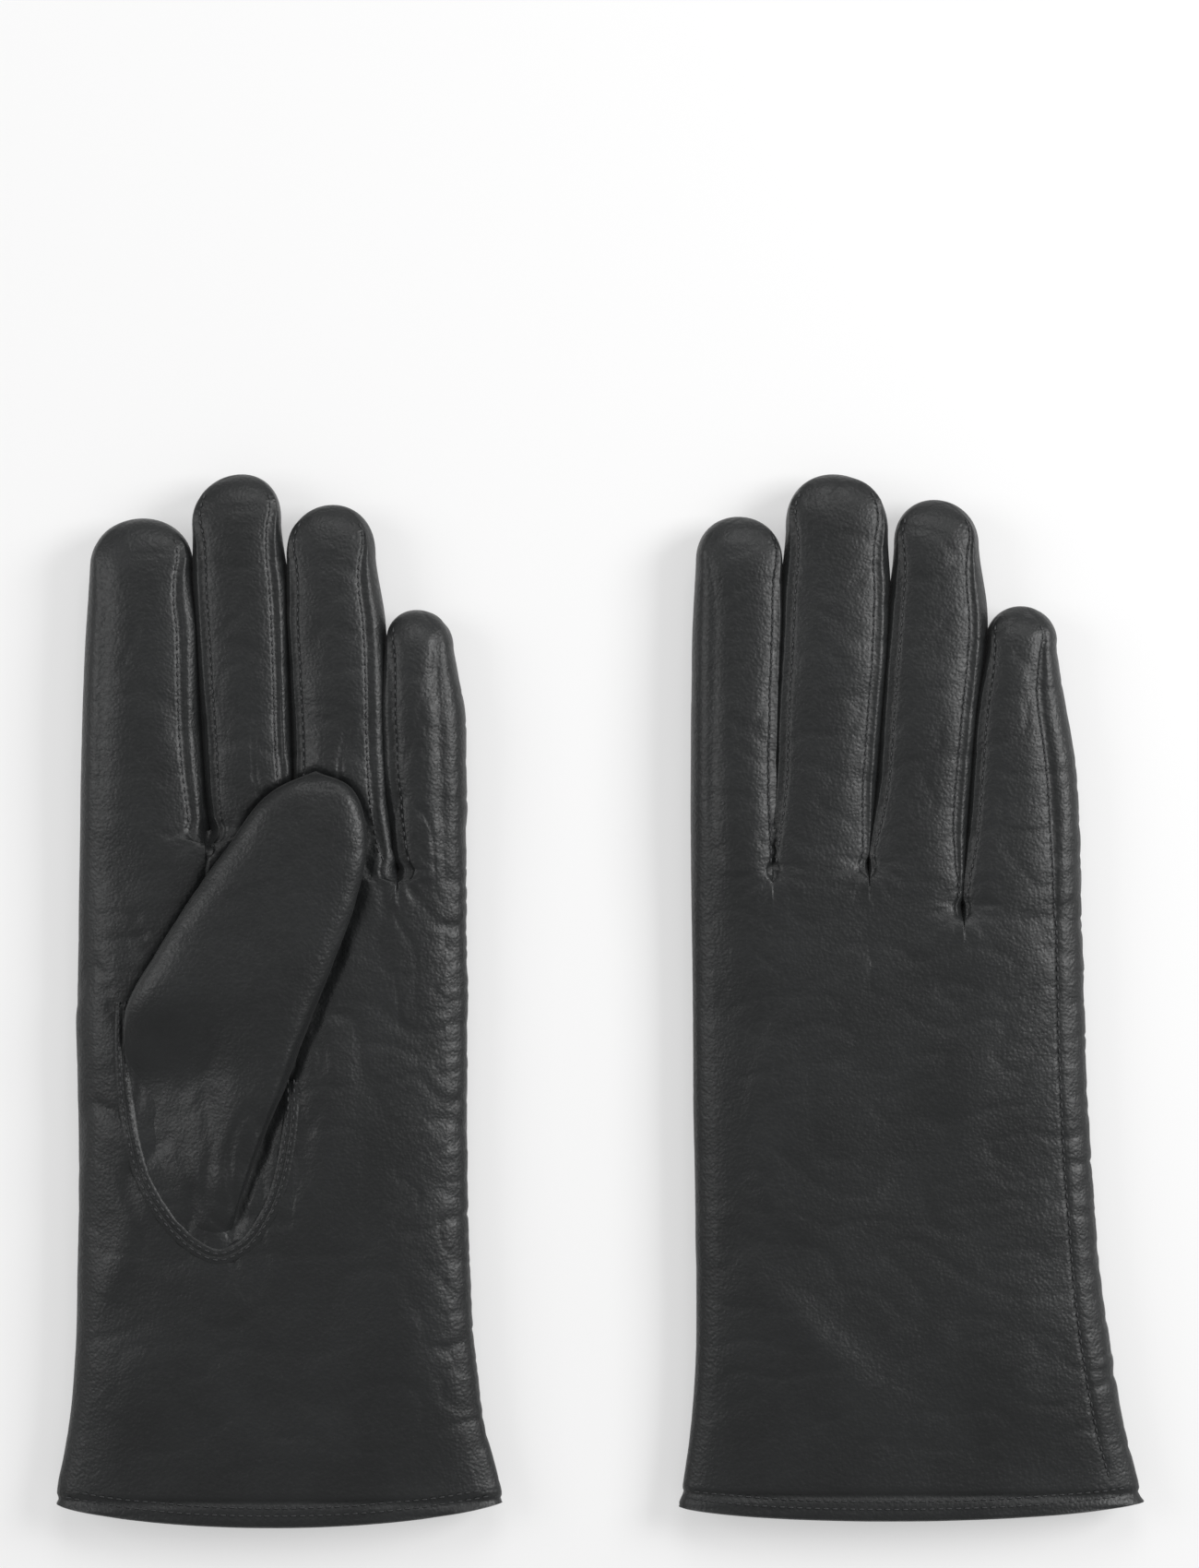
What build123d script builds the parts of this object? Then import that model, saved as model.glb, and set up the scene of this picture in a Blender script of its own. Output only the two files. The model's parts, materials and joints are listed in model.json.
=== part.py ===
from build123d import *
from dataclasses import dataclass
import math
import os

# A pair of lined leather dress gloves lying flat, side by side. The left glove lies palm up
# with its thumb folded across the palm. The right glove lies back up with its thumb tucked
# underneath. +X runs towards the little fingers, +Y towards the fingertips, +Z up.

# Driving dimensions, in millimetres and degrees
PAIR_WIDTH = 262.3  # across both cuffs, from outer corner to outer corner
THICKNESS = 16.0  # a glove lying flat: back, palm and the air between them
EDGE_RADIUS = 6.0  # rounding of the long edges
LEATHER = 0.9
PLY_GAP = 0.2  # between leather and lining
LINING = 0.7
FINGER_GAP = 0.7  # between neighbouring fingers at the crotch
CLEARANCE = 0.3  # between pieces that move apart
HEM_ALLOWANCE = 10.0  # cuff carried past the hem before it is trimmed
FACING_DEPTH = 12.0  # leather turned in at the cuff
FOURCHETTE_INSET = 4.5  # from a finger's side to the fourchette's seam
FOURCHETTE_DROP = 4.0  # from the crotch down to the fourchette's lowest point
TIP_CAP = 4.0  # from the tip's shoulder down to the fourchette's end
SIDE_SEAM_INSET = 7.0  # from the little finger's edge to the seam on the back
TIP_SEAM_INSET = 6.8  # the same at the little finger's tip, clear of the rounded edge
THREAD_WIDTH = 0.6
THREAD_DEPTH = 0.3
HEM_ROWS = (2.6, 4.4)  # height of each row of hem stitching above the hem
THUMB_ROWS = (1.6, 4.0)  # distance of each row of thumb stitching from the thumb's outline
FLEXION = 85.0  # bend of a finger towards the palm
THUMB_LIFT = 95.0  # swing of the thumb away from the palm
FOLD_MARGIN = 0.7  # kept between a bent finger and the hand at full bend
THUMB_LENGTH = 61.0
THUMB_ROOT_WIDTH = 42.0
THUMB_TIP_WIDTH = 25.0
THUMB_CORNER = 6.0  # rounding of the outline's corners at the heel and the root
THUMB_HOLE = (24.0, 36.0)  # hole in the palm, across and along, with round ends
COLLAR_WALL = 0.9  # seam allowance round the thumb hole
SEAM_START = 3.0  # from the upper row of hem stitching up to the side seam's first stitch
SEAM_STOP = 1.0  # from the side seam's last stitch up to the little finger's fold
OVERCUT = 1.0  # how far a cutter runs past what it cuts
POKE = 0.5  # the same through a wall


@dataclass(frozen=True)
class Finger:
    """A finger stall, measured on the glove's flat outline."""

    name: str
    root_width: float
    tip_width: float
    lean: float  # sideways shift of the tip's middle from the root's middle
    tip: float  # height of the fingertip above the hem
    knuckle: float  # height of the line it bends on


@dataclass(frozen=True)
class Glove:
    """One glove. Left and right edges are measured from the palm's middle."""

    side: str
    palm_up: bool
    drop: float  # height of the hem's lowest point above the pair's lowest point
    fingers: tuple
    crotches: tuple  # height of each crotch
    hem_edges: tuple
    flare_edges: tuple  # halfway up the cuff's flare
    wrist_edges: tuple
    wrist: float  # height where the flare ends
    hem_rise: float  # height of the hem's corners
    thumb_root: tuple
    thumb_angle: float
    thumb_thickness: float
    thumb_radius: float
    thumb_heel: tuple  # lowest point of the thumb's seam
    thumb_bulge: tuple  # middle of each side of the thumb's seam
    thumb_hole: tuple  # centre of the hole in the palm


LEFT = Glove(
    side="left",
    palm_up=True,
    drop=0.0,
    fingers=(
        Finger("index", 31.2, 24.7, -0.9, 243.3, 196.0),
        Finger("middle", 20.3, 20.9, -3.9, 254.0, 198.0),
        Finger("ring", 23.9, 21.7, -4.2, 246.6, 195.0),
        Finger("little", 16.1, 16.3, -3.1, 221.1, 184.0),
    ),
    crotches=(168.5, 165.0, 158.7),
    hem_edges=(-52.4, 54.8),
    flare_edges=(-48.4, 48.9),
    wrist_edges=(-47.6, 46.9),
    wrist=75.0,
    hem_rise=4.9,
    thumb_root=(-12.0, 125.0),
    thumb_angle=25.5,
    thumb_thickness=12.0,
    thumb_radius=4.5,
    thumb_heel=(-12.5, 63.5),
    thumb_bulge=((-34.5, 98.0), (1.5, 88.0)),
    thumb_hole=(-14.5, 97.0),
)
RIGHT = Glove(
    side="right",
    palm_up=False,
    drop=1.6,
    fingers=(
        Finger("index", 19.2, 20.8, 1.8, 242.1, 186.0),
        Finger("middle", 22.6, 24.3, 4.0, 252.4, 188.0),
        Finger("ring", 22.1, 20.9, 5.3, 246.2, 186.0),
        Finger("little", 28.9, 16.9, 0.7, 220.4, 176.0),
    ),
    crotches=(157.3, 158.4, 148.2),
    hem_edges=(-49.8, 61.2),
    flare_edges=(-46.5, 54.2),
    wrist_edges=(-46.4, 50.4),
    wrist=75.0,
    hem_rise=3.4,
    thumb_root=(-13.5, 104.0),
    thumb_angle=55.0,
    thumb_thickness=6.6,
    thumb_radius=2.7,
    thumb_heel=(-12.5, 63.5),
    thumb_bulge=((-33.5, 94.0), (-4.5, 74.0)),
    thumb_hole=(-17.5, 88.0),
)

# Worked out from the driving dimensions
LINING_OUTSIDE = LEATHER + PLY_GAP
LINING_INSIDE = LINING_OUTSIDE + LINING
FOLD_HALF = THICKNESS / 2 * math.tan(math.radians(FLEXION / 2)) + FOLD_MARGIN
LENGTH = max(glove.drop + finger.tip for glove in (LEFT, RIGHT) for finger in glove.fingers)
REACH = 2 * LENGTH  # longer than anything it cuts


def plane_of(glove, height=0.0):
    """The plane at a height whose origin is the middle of the glove's palm, level with its hem."""
    if glove.side == "left":
        x = -PAIR_WIDTH / 2 - glove.hem_edges[0]
    else:
        x = PAIR_WIDTH / 2 - glove.hem_edges[1]
    return Plane(origin=(x, glove.drop - LENGTH / 2, height))


def root_edges(glove):
    """Left and right side of each finger at its root."""
    total = sum(f.root_width for f in glove.fingers) + FINGER_GAP * (len(glove.fingers) - 1)
    edges = []
    x = -total / 2
    for finger in glove.fingers:
        edges.append((x, x + finger.root_width))
        x += finger.root_width + FINGER_GAP
    return edges


def tip_edges(glove):
    """Left and right side of each finger at the shoulder of its tip, and the shoulder's height."""
    edges = []
    for finger, (left, right) in zip(glove.fingers, root_edges(glove)):
        middle = (left + right) / 2 + finger.lean
        half = finger.tip_width / 2
        edges.append((middle - half, middle + half, finger.tip - half))
    return edges


def hand_outline(glove):
    """The flat outline of hand and fingers, with the cuff carried past the hem."""
    roots = root_edges(glove)
    tips = tip_edges(glove)
    middle = (glove.wrist + glove.hem_rise) / 2
    with BuildSketch() as flat:
        with BuildLine():
            base = Polyline(
                (glove.hem_edges[0], glove.hem_rise),
                (glove.hem_edges[0], -HEM_ALLOWANCE),
                (glove.hem_edges[1], -HEM_ALLOWANCE),
                (glove.hem_edges[1], glove.hem_rise),
            )
            ThreePointArc(
                base @ 0, (glove.flare_edges[0], middle), (glove.wrist_edges[0], glove.wrist)
            )
            start = (glove.wrist_edges[0], glove.wrist)
            corner = (roots[0][0], glove.crotches[0])
            Line(start, corner)
            start = corner
            for number, finger in enumerate(glove.fingers):
                left, right, shoulder = tips[number]
                Line(start, (left, shoulder))
                ThreePointArc(
                    (left, shoulder), ((left + right) / 2, finger.tip), (right, shoulder)
                )
                if number < len(glove.crotches):
                    height = glove.crotches[number]
                    here = (roots[number][1], height)
                    start = (roots[number + 1][0], height)
                    Line((right, shoulder), here)
                    ThreePointArc(
                        here, (here[0] + FINGER_GAP / 2, height - FINGER_GAP / 2), start
                    )
            corner = (roots[-1][1], glove.crotches[-1])
            Polyline((right, shoulder), corner, (glove.wrist_edges[1], glove.wrist))
            ThreePointArc(
                (glove.wrist_edges[1], glove.wrist), (glove.flare_edges[1], middle), base @ 1
            )
        make_face()
    return flat.sketch


def thumb_axes(glove):
    """The thumb's root, its direction and the direction across it, on the flat outline."""
    turn = math.radians(glove.thumb_angle)
    along = Vector(math.sin(turn), math.cos(turn))
    across = Vector(math.cos(turn), -math.sin(turn))
    return Vector(*glove.thumb_root), along, across


def thumb_outline(glove):
    """The flat outline of the thumb and of the gusset that joins it to the palm."""
    root, along, across = thumb_axes(glove)
    half_root = THUMB_ROOT_WIDTH / 2
    half_tip = THUMB_TIP_WIDTH / 2
    shoulder = root + along * (THUMB_LENGTH - half_tip)
    heel = Vector(*glove.thumb_heel)
    with BuildSketch() as flat:
        with BuildLine():
            ThreePointArc(heel, glove.thumb_bulge[0], root - across * half_root)
            Line(root - across * half_root, shoulder - across * half_tip)
            ThreePointArc(
                shoulder - across * half_tip,
                root + along * THUMB_LENGTH,
                shoulder + across * half_tip,
            )
            Line(shoulder + across * half_tip, root + across * half_root)
            ThreePointArc(root + across * half_root, glove.thumb_bulge[1], heel)
        make_face()
        fillet(flat.vertices().sort_by(Axis.Y)[:3], THUMB_CORNER)
    return flat.sketch


def pillow(flat, plane, thickness, radius, inset, lowest):
    """A flat soft solid with rounded long edges, drawn in all round by an inset."""
    with BuildPart() as body:
        with BuildSketch(plane.offset(inset)):
            add(flat)
            if inset:
                offset(amount=-inset)
        extrude(amount=thickness - 2 * inset)
        rims = body.faces().filter_by(Axis.Z).edges()
        rims = rims.filter_by_position(Axis.Y, plane.origin.Y + lowest, REACH)
        fillet(rims, radius - inset)
    return body.part


def prism(glove, points, low=-THICKNESS, high=2 * THICKNESS + THUMB_LENGTH):
    """A cutter standing on a polygon of the flat outline."""
    with BuildPart() as block:
        with BuildSketch(plane_of(glove, low)):
            Polygon(*points, align=None)
        extrude(amount=high - low)
    return block.part


def hem_band(glove, low, high):
    """A cutter between two copies of the hem's curve, raised by two amounts."""
    left, right = glove.hem_edges
    middle = (left + right) / 2
    with BuildPart() as block:
        with BuildSketch(plane_of(glove, -THICKNESS)):
            with BuildLine():
                lower = ThreePointArc(
                    (left - OVERCUT, glove.hem_rise + low),
                    (middle, low),
                    (right + OVERCUT, glove.hem_rise + low),
                )
                upper = ThreePointArc(
                    (left - OVERCUT, glove.hem_rise + high),
                    (middle, high),
                    (right + OVERCUT, glove.hem_rise + high),
                )
                Line(lower @ 0, upper @ 0)
                Line(lower @ 1, upper @ 1)
            make_face()
        extrude(amount=3 * THICKNESS)
    return block.part


def below_hem(glove):
    """A cutter for everything past the hem."""
    return hem_band(glove, -HEM_ALLOWANCE - glove.hem_rise - OVERCUT, 0)


def gap_lines(glove):
    """Middle of the gap beside each finger, at its crotch and at the fingertips, left to right."""
    roots = root_edges(glove)
    tips = tip_edges(glove)
    lines = [((-REACH, 0.0), (-REACH, REACH))]
    for number, height in enumerate(glove.crotches):
        low = ((roots[number][1] + roots[number + 1][0]) / 2, height)
        top = min(tips[number][2], tips[number + 1][2])
        sides = []
        for edge, root, tip in (
            (1, roots[number], tips[number]),
            (0, roots[number + 1], tips[number + 1]),
        ):
            share = (top - height) / (tip[2] - height)
            sides.append(root[edge] + (tip[edge] - root[edge]) * share)
        lines.append((low, (sum(sides) / 2, top)))
    lines.append(((REACH, 0.0), (REACH, REACH)))
    return lines


def at_height(line, y):
    """Where a gap's line is at a height."""
    (x0, y0), (x1, y1) = line
    return x0 + (x1 - x0) * (y - y0) / (y1 - y0)


def finger_zone(glove, number, low, high):
    """A cutter round one finger, between two heights."""
    before, after = gap_lines(glove)[number : number + 2]
    points = [
        (at_height(before, low), low),
        (at_height(before, high), high),
        (at_height(after, high), high),
        (at_height(after, low), low),
    ]
    return prism(glove, points)


def fourchette_zone(glove, number):
    """A cutter for the fourchettes on both sides of one crotch, up to the fingertips."""
    roots = root_edges(glove)
    tips = tip_edges(glove)
    height = glove.crotches[number]
    points = [
        (roots[number][1] - FOURCHETTE_INSET, height - FOURCHETTE_DROP),
        (tips[number][1] - FOURCHETTE_INSET, tips[number][2]),
        (tips[number + 1][0] + FOURCHETTE_INSET, tips[number + 1][2]),
        (roots[number + 1][0] + FOURCHETTE_INSET, height - FOURCHETTE_DROP),
    ]
    return prism(glove, points)


def seam_line(glove):
    """The side seam on the back, from below the hem to past the little finger's tip."""
    middle = (glove.wrist + glove.hem_rise) / 2
    tip = tip_edges(glove)[-1]
    return [
        (glove.hem_edges[1] - SIDE_SEAM_INSET, -HEM_ALLOWANCE - OVERCUT),
        (glove.hem_edges[1] - SIDE_SEAM_INSET, glove.hem_rise),
        (glove.flare_edges[1] - SIDE_SEAM_INSET, middle),
        (glove.wrist_edges[1] - SIDE_SEAM_INSET, glove.wrist),
        (root_edges(glove)[-1][1] - SIDE_SEAM_INSET, glove.crotches[-1]),
        (tip[1] - TIP_SEAM_INSET, tip[2]),
    ]


def back_zone(glove):
    """A cutter for the back of the glove: its half of the thickness, up to the side seam."""
    line = seam_line(glove)
    line.append((line[-1][0], REACH))
    points = [(-REACH, REACH), (-REACH, line[0][1])] + line
    if glove.palm_up:
        return prism(glove, points, -THICKNESS, THICKNESS / 2)
    return prism(glove, points, THICKNESS / 2, 2 * THICKNESS)


def thumb_zone(glove, start):
    """A cutter for the thumb beyond a distance from the line that it swings on."""
    root, along, across = thumb_axes(glove)
    near = root + along * start
    corners = [
        near - across * REACH,
        near - across * REACH + along * REACH,
        near + across * REACH + along * REACH,
        near + across * REACH,
    ]
    return prism(glove, [(point.X, point.Y) for point in corners])


def face_layer(glove, flat, on_palm):
    """A thread's solid or groove: a flat shape sunk into the palm's or the back's outer face."""
    upper = on_palm == glove.palm_up
    with BuildPart() as layer:
        with BuildSketch(plane_of(glove, THICKNESS - THREAD_DEPTH if upper else 0.0)):
            add(flat)
        extrude(amount=THREAD_DEPTH)
    return layer.part


def row_outline(glove, distance):
    """One row of stitching round the thumb's seam, up to the line that the thumb swings on."""
    root, along, across = thumb_axes(glove)
    near = root - along * FOLD_HALF
    corners = [
        near - across * REACH,
        near - across * REACH - along * REACH,
        near + across * REACH - along * REACH,
        near + across * REACH,
    ]
    flat = thumb_outline(glove)
    with BuildSketch() as row:
        add(offset(flat, amount=distance + THREAD_WIDTH, mode=Mode.PRIVATE))
        add(offset(flat, amount=distance, mode=Mode.PRIVATE), mode=Mode.SUBTRACT)
        Polygon(*[(p.X, p.Y) for p in corners], align=None, mode=Mode.INTERSECT)
    return row.sketch


def seam_row(glove):
    """The side seam's line of stitching, from above the hem to the little finger's fold."""
    start = glove.hem_rise + HEM_ROWS[1] + SEAM_START
    stop = glove.fingers[-1].knuckle - FOLD_HALF - SEAM_STOP
    half = THREAD_WIDTH / 2
    line = seam_line(glove)
    with BuildSketch() as row:
        Polygon(
            *[(x - half, y) for x, y in line],
            *[(x + half, y) for x, y in reversed(line)],
            align=None,
        )
        with Locations((0, (start + stop) / 2)):
            Rectangle(REACH, stop - start, mode=Mode.INTERSECT)
    return row.sketch


def save(piece, name):
    """Labels a finished sub-part and writes it out."""
    piece.part.label = name
    export_step(piece.part, f"parts/{name}.step")


def thumb_level(glove):
    """Height of the thumb's underside: above the palm, or on the table under it."""
    return THICKNESS + CLEARANCE if glove.palm_up else 0.0


def thumb_pillow(glove, inset):
    """The thumb and its gusset as one soft solid, drawn in by an inset."""
    return pillow(
        thumb_outline(glove),
        plane_of(glove, thumb_level(glove)),
        glove.thumb_thickness,
        glove.thumb_radius,
        inset,
        0.0,
    )


def thumb_pocket(glove, wall):
    """The hollow that a tucked thumb presses into the palm, grown by the wall over it."""
    with BuildPart() as pocket:
        with BuildSketch(plane_of(glove, -OVERCUT)):
            add(thumb_outline(glove))
            offset(amount=CLEARANCE + wall)
        extrude(amount=OVERCUT + glove.thumb_thickness + CLEARANCE + wall)
    return pocket.part


def hand_pillow(glove, inset):
    """Hand and fingers as one soft solid, drawn in by an inset."""
    soft = pillow(
        hand_outline(glove), plane_of(glove), THICKNESS, EDGE_RADIUS, inset, OVERCUT - HEM_ALLOWANCE
    )
    if glove.palm_up:
        return soft
    with BuildPart() as pressed:
        add(soft)
        add(thumb_pocket(glove, inset), mode=Mode.SUBTRACT)
    return pressed.part


def hole_outline(glove, inset):
    """The flat outline of the thumb hole, drawn in by an inset."""
    with BuildSketch() as flat:
        with Locations(glove.thumb_hole):
            SlotOverall(THUMB_HOLE[1] - 2 * inset, THUMB_HOLE[0] - 2 * inset, rotation=90)
    return flat.sketch


def hole_cutter(glove, inset=0.0):
    """The thumb hole, drawn in by an inset, as a cutter through the facing walls only."""
    wall = LINING_INSIDE + POKE
    if glove.palm_up:
        low = THICKNESS - wall
        high = thumb_level(glove) + wall
    else:
        low = glove.thumb_thickness - wall
        high = glove.thumb_thickness + CLEARANCE + wall
    with BuildPart() as cutter:
        with BuildSketch(plane_of(glove, low)):
            add(hole_outline(glove, inset))
        extrude(amount=high - low)
    return cutter.part


def build_glove(glove):
    """Makes and writes every sub-part of one glove."""
    side = glove.side
    outside = hand_pillow(glove, 0.0)
    leather_inside = hand_pillow(glove, LEATHER)
    lining_outside = hand_pillow(glove, LINING_OUTSIDE)
    inside = hand_pillow(glove, LINING_INSIDE)
    thread_floor = hand_pillow(glove, THREAD_DEPTH)
    past_hem = below_hem(glove)
    hole = hole_cutter(glove)
    back = back_zone(glove)
    gussets = [fourchette_zone(glove, number) for number in range(len(glove.crotches))]
    beyond_folds = [
        finger_zone(glove, number, finger.knuckle - FOLD_HALF, REACH)
        for number, finger in enumerate(glove.fingers)
    ]

    with BuildPart() as hem_stitching:
        for row in HEM_ROWS:
            add(hem_band(glove, row, row + THREAD_WIDTH))
        add(outside, mode=Mode.INTERSECT)
        add(thread_floor, mode=Mode.SUBTRACT)
    save(hem_stitching, f"{side}_hem_stitching")

    with BuildPart() as thumb_seam_stitching:
        for distance in THUMB_ROWS:
            add(face_layer(glove, row_outline(glove, distance), on_palm=True))
    save(thumb_seam_stitching, f"{side}_thumb_seam_stitching")

    with BuildPart() as side_seam_stitching:
        add(face_layer(glove, seam_row(glove), on_palm=False))
    save(side_seam_stitching, f"{side}_side_seam_stitching")

    with BuildPart() as hand_leather:
        add(outside)
        add(leather_inside, mode=Mode.SUBTRACT)
        add(past_hem, mode=Mode.SUBTRACT)
        add(hole, mode=Mode.SUBTRACT)
        for zone in beyond_folds:
            add(zone, mode=Mode.SUBTRACT)
        add(hem_stitching.part, mode=Mode.SUBTRACT)
        add(thumb_seam_stitching.part, mode=Mode.SUBTRACT)
        add(side_seam_stitching.part, mode=Mode.SUBTRACT)

    with BuildPart() as crotch_gussets:
        for zone in gussets:
            add(zone)
        add(hand_leather.part, mode=Mode.INTERSECT)
    save(crotch_gussets, f"{side}_crotch_gussets")

    with BuildPart() as back_panel:
        add(hand_leather.part)
        add(back, mode=Mode.INTERSECT)
        for zone in gussets:
            add(zone, mode=Mode.SUBTRACT)
    save(back_panel, f"{side}_back_panel")

    with BuildPart() as palm_panel:
        add(hand_leather.part)
        add(back, mode=Mode.SUBTRACT)
        for zone in gussets:
            add(zone, mode=Mode.SUBTRACT)
    save(palm_panel, f"{side}_palm_panel")

    with BuildPart() as hem_facing:
        add(hem_band(glove, 0.0, FACING_DEPTH))
        add(leather_inside, mode=Mode.INTERSECT)
        add(inside, mode=Mode.SUBTRACT)
    save(hem_facing, f"{side}_hem_facing")

    with BuildPart() as hand_lining:
        add(lining_outside)
        add(inside, mode=Mode.SUBTRACT)
        add(past_hem, mode=Mode.SUBTRACT)
        add(hem_band(glove, -OVERCUT, FACING_DEPTH + CLEARANCE), mode=Mode.SUBTRACT)
        add(hole, mode=Mode.SUBTRACT)
        for zone in beyond_folds:
            add(zone, mode=Mode.SUBTRACT)
    save(hand_lining, f"{side}_hand_lining")

    with BuildPart() as finger_folds:
        for number, finger in enumerate(glove.fingers):
            start = finger.knuckle - FOLD_HALF
            add(finger_zone(glove, number, start, finger.knuckle + FOLD_HALF - CLEARANCE))
        add(outside, mode=Mode.INTERSECT)
        add(inside, mode=Mode.SUBTRACT)
    save(finger_folds, f"{side}_finger_folds")

    for number, finger in enumerate(glove.fingers):
        build_finger(glove, number, outside, leather_inside, lining_outside, inside, back)
    build_thumb(glove)


def build_finger(glove, number, outside, leather_inside, lining_outside, inside, back):
    """Makes and writes the moving end of one finger: back, palm, fourchettes and lining."""
    finger = glove.fingers[number]
    name = f"{glove.side}_{finger.name}"
    start = finger.knuckle + FOLD_HALF
    zone = finger_zone(glove, number, start, REACH)
    shoulder = tip_edges(glove)[number][2] - TIP_CAP
    beside = [n for n in (number - 1, number) if 0 <= n < len(glove.crotches)]

    with BuildPart() as leather:
        add(outside)
        add(leather_inside, mode=Mode.SUBTRACT)
        add(zone, mode=Mode.INTERSECT)

    with BuildPart() as fourchettes:
        for crotch in beside:
            add(fourchette_zone(glove, crotch))
        add(finger_zone(glove, number, start - OVERCUT, shoulder), mode=Mode.INTERSECT)
        add(leather.part, mode=Mode.INTERSECT)
    save(fourchettes, f"{name}_fourchettes")

    with BuildPart() as finger_back:
        add(leather.part)
        add(back, mode=Mode.INTERSECT)
        add(fourchettes.part, mode=Mode.SUBTRACT)
    save(finger_back, f"{name}_back")

    with BuildPart() as finger_palm:
        add(leather.part)
        add(back, mode=Mode.SUBTRACT)
        add(fourchettes.part, mode=Mode.SUBTRACT)
    save(finger_palm, f"{name}_palm")

    with BuildPart() as finger_lining:
        add(lining_outside)
        add(inside, mode=Mode.SUBTRACT)
        add(zone, mode=Mode.INTERSECT)
    save(finger_lining, f"{name}_lining")


def build_thumb(glove):
    """Makes and writes the thumb, its lining and the gusset that joins it to the palm."""
    side = glove.side
    half = glove.thumb_thickness / 2
    fold = half * math.tan(math.radians(THUMB_LIFT / 2)) + FOLD_MARGIN
    outside = thumb_pillow(glove, 0.0)
    inside = thumb_pillow(glove, LINING_INSIDE)
    beyond = thumb_zone(glove, fold)

    with BuildPart() as thumb_leather:
        add(outside)
        add(thumb_pillow(glove, LEATHER), mode=Mode.SUBTRACT)
        add(beyond, mode=Mode.INTERSECT)
    save(thumb_leather, f"{side}_thumb_leather")

    with BuildPart() as thumb_lining:
        add(thumb_pillow(glove, LINING_OUTSIDE))
        add(inside, mode=Mode.SUBTRACT)
        add(beyond, mode=Mode.INTERSECT)
    save(thumb_lining, f"{side}_thumb_lining")

    upper = glove.palm_up
    low = THICKNESS - LEATHER if upper else glove.thumb_thickness - LEATHER
    high = low + CLEARANCE + 2 * LEATHER
    with BuildPart() as thumb_gusset:
        add(outside)
        add(inside, mode=Mode.SUBTRACT)
        add(thumb_zone(glove, fold - CLEARANCE), mode=Mode.SUBTRACT)
        with BuildSketch(plane_of(glove, low)):
            add(hole_outline(glove, 0.0))
        extrude(amount=high - low)
        add(hole_cutter(glove, COLLAR_WALL), mode=Mode.SUBTRACT)
    save(thumb_gusset, f"{side}_thumb_gusset")


os.makedirs("parts", exist_ok=True)
for pair_glove in (LEFT, RIGHT):
    build_glove(pair_glove)
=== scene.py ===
"""Visual model of a pair of lined black leather dress gloves lying flat.

The left glove lies palm up with its thumb folded across the palm, and the right glove lies back up with its
thumb tucked underneath. Lengths are in millimetres in each glove's own flat frame (x towards the little finger,
y from the hem to the fingertips, z up) and become metres in the shared frame when a mesh is made.
"""

from __future__ import annotations

import json
import logging
import math
from dataclasses import dataclass, field
from enum import Enum

import bpy
import numpy as np
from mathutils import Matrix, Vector, noise


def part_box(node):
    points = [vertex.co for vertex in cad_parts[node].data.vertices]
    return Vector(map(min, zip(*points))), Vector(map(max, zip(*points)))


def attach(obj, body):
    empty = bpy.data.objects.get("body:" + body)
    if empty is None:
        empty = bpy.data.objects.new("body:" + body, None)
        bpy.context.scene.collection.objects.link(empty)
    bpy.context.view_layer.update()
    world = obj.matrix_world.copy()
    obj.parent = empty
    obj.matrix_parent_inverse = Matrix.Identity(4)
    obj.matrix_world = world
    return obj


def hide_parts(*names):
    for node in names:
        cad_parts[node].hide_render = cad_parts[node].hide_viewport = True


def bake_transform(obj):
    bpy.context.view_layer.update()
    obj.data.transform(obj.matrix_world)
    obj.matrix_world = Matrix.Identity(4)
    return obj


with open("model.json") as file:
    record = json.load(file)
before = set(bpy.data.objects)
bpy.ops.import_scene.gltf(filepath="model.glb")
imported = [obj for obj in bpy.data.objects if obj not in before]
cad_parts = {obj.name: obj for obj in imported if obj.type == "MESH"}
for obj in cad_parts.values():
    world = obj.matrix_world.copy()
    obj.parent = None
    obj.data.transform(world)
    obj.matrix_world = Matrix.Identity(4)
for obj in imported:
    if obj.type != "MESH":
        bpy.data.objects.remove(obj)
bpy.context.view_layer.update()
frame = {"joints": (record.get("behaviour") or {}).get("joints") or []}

LOG = logging.getLogger("gloves")
MM = 0.001
MIDDLE = 8.0  # height of a glove's side edges
FLOOR_GAP = 0.05  # height of the lowest leather
FLOOR_GREY = 0.50
FLOOR_GLOW = 0.42
WORLD_GLOW = 0.37
LENS = 90.0
SENSOR = 36.0
VIEW_HEIGHT = 0.3805  # height of the view at the gloves, in metres
VIEW_MIDDLE = (0.0002, 0.0521)  # point that the camera hangs over, in metres
LIGHT_AIM = (0.0, 0.03, 0.0)
HEM_ROWS = (2.6, 4.4)  # height of each row of hem stitching above the hem
STITCH_PITCH = 0.0021  # from one stitch to the next, in metres
SIDE_STITCH = (0.0022, 0.0016)  # pitch and length of the side seam's stitches, in metres
HEM_STITCH = 0.0015  # length of a stitch in the hem and in the thumb's seam, in metres
FINGER_STITCH = 0.0014  # length of a stitch beside a fourchette, in metres
Curve = tuple[tuple[float, float], ...]
Triple = tuple[float, float, float]


class Face(Enum):
    """Which way a glove lies."""

    PALM_UP = 1
    BACK_UP = -1


# from the side of the palm that lies outwards in the pair to the glove's origin
PALM_REACH = {Face.PALM_UP: 52.4, Face.BACK_UP: 61.2}


# ---------------------------------------------------------------- curves and folds


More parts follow.
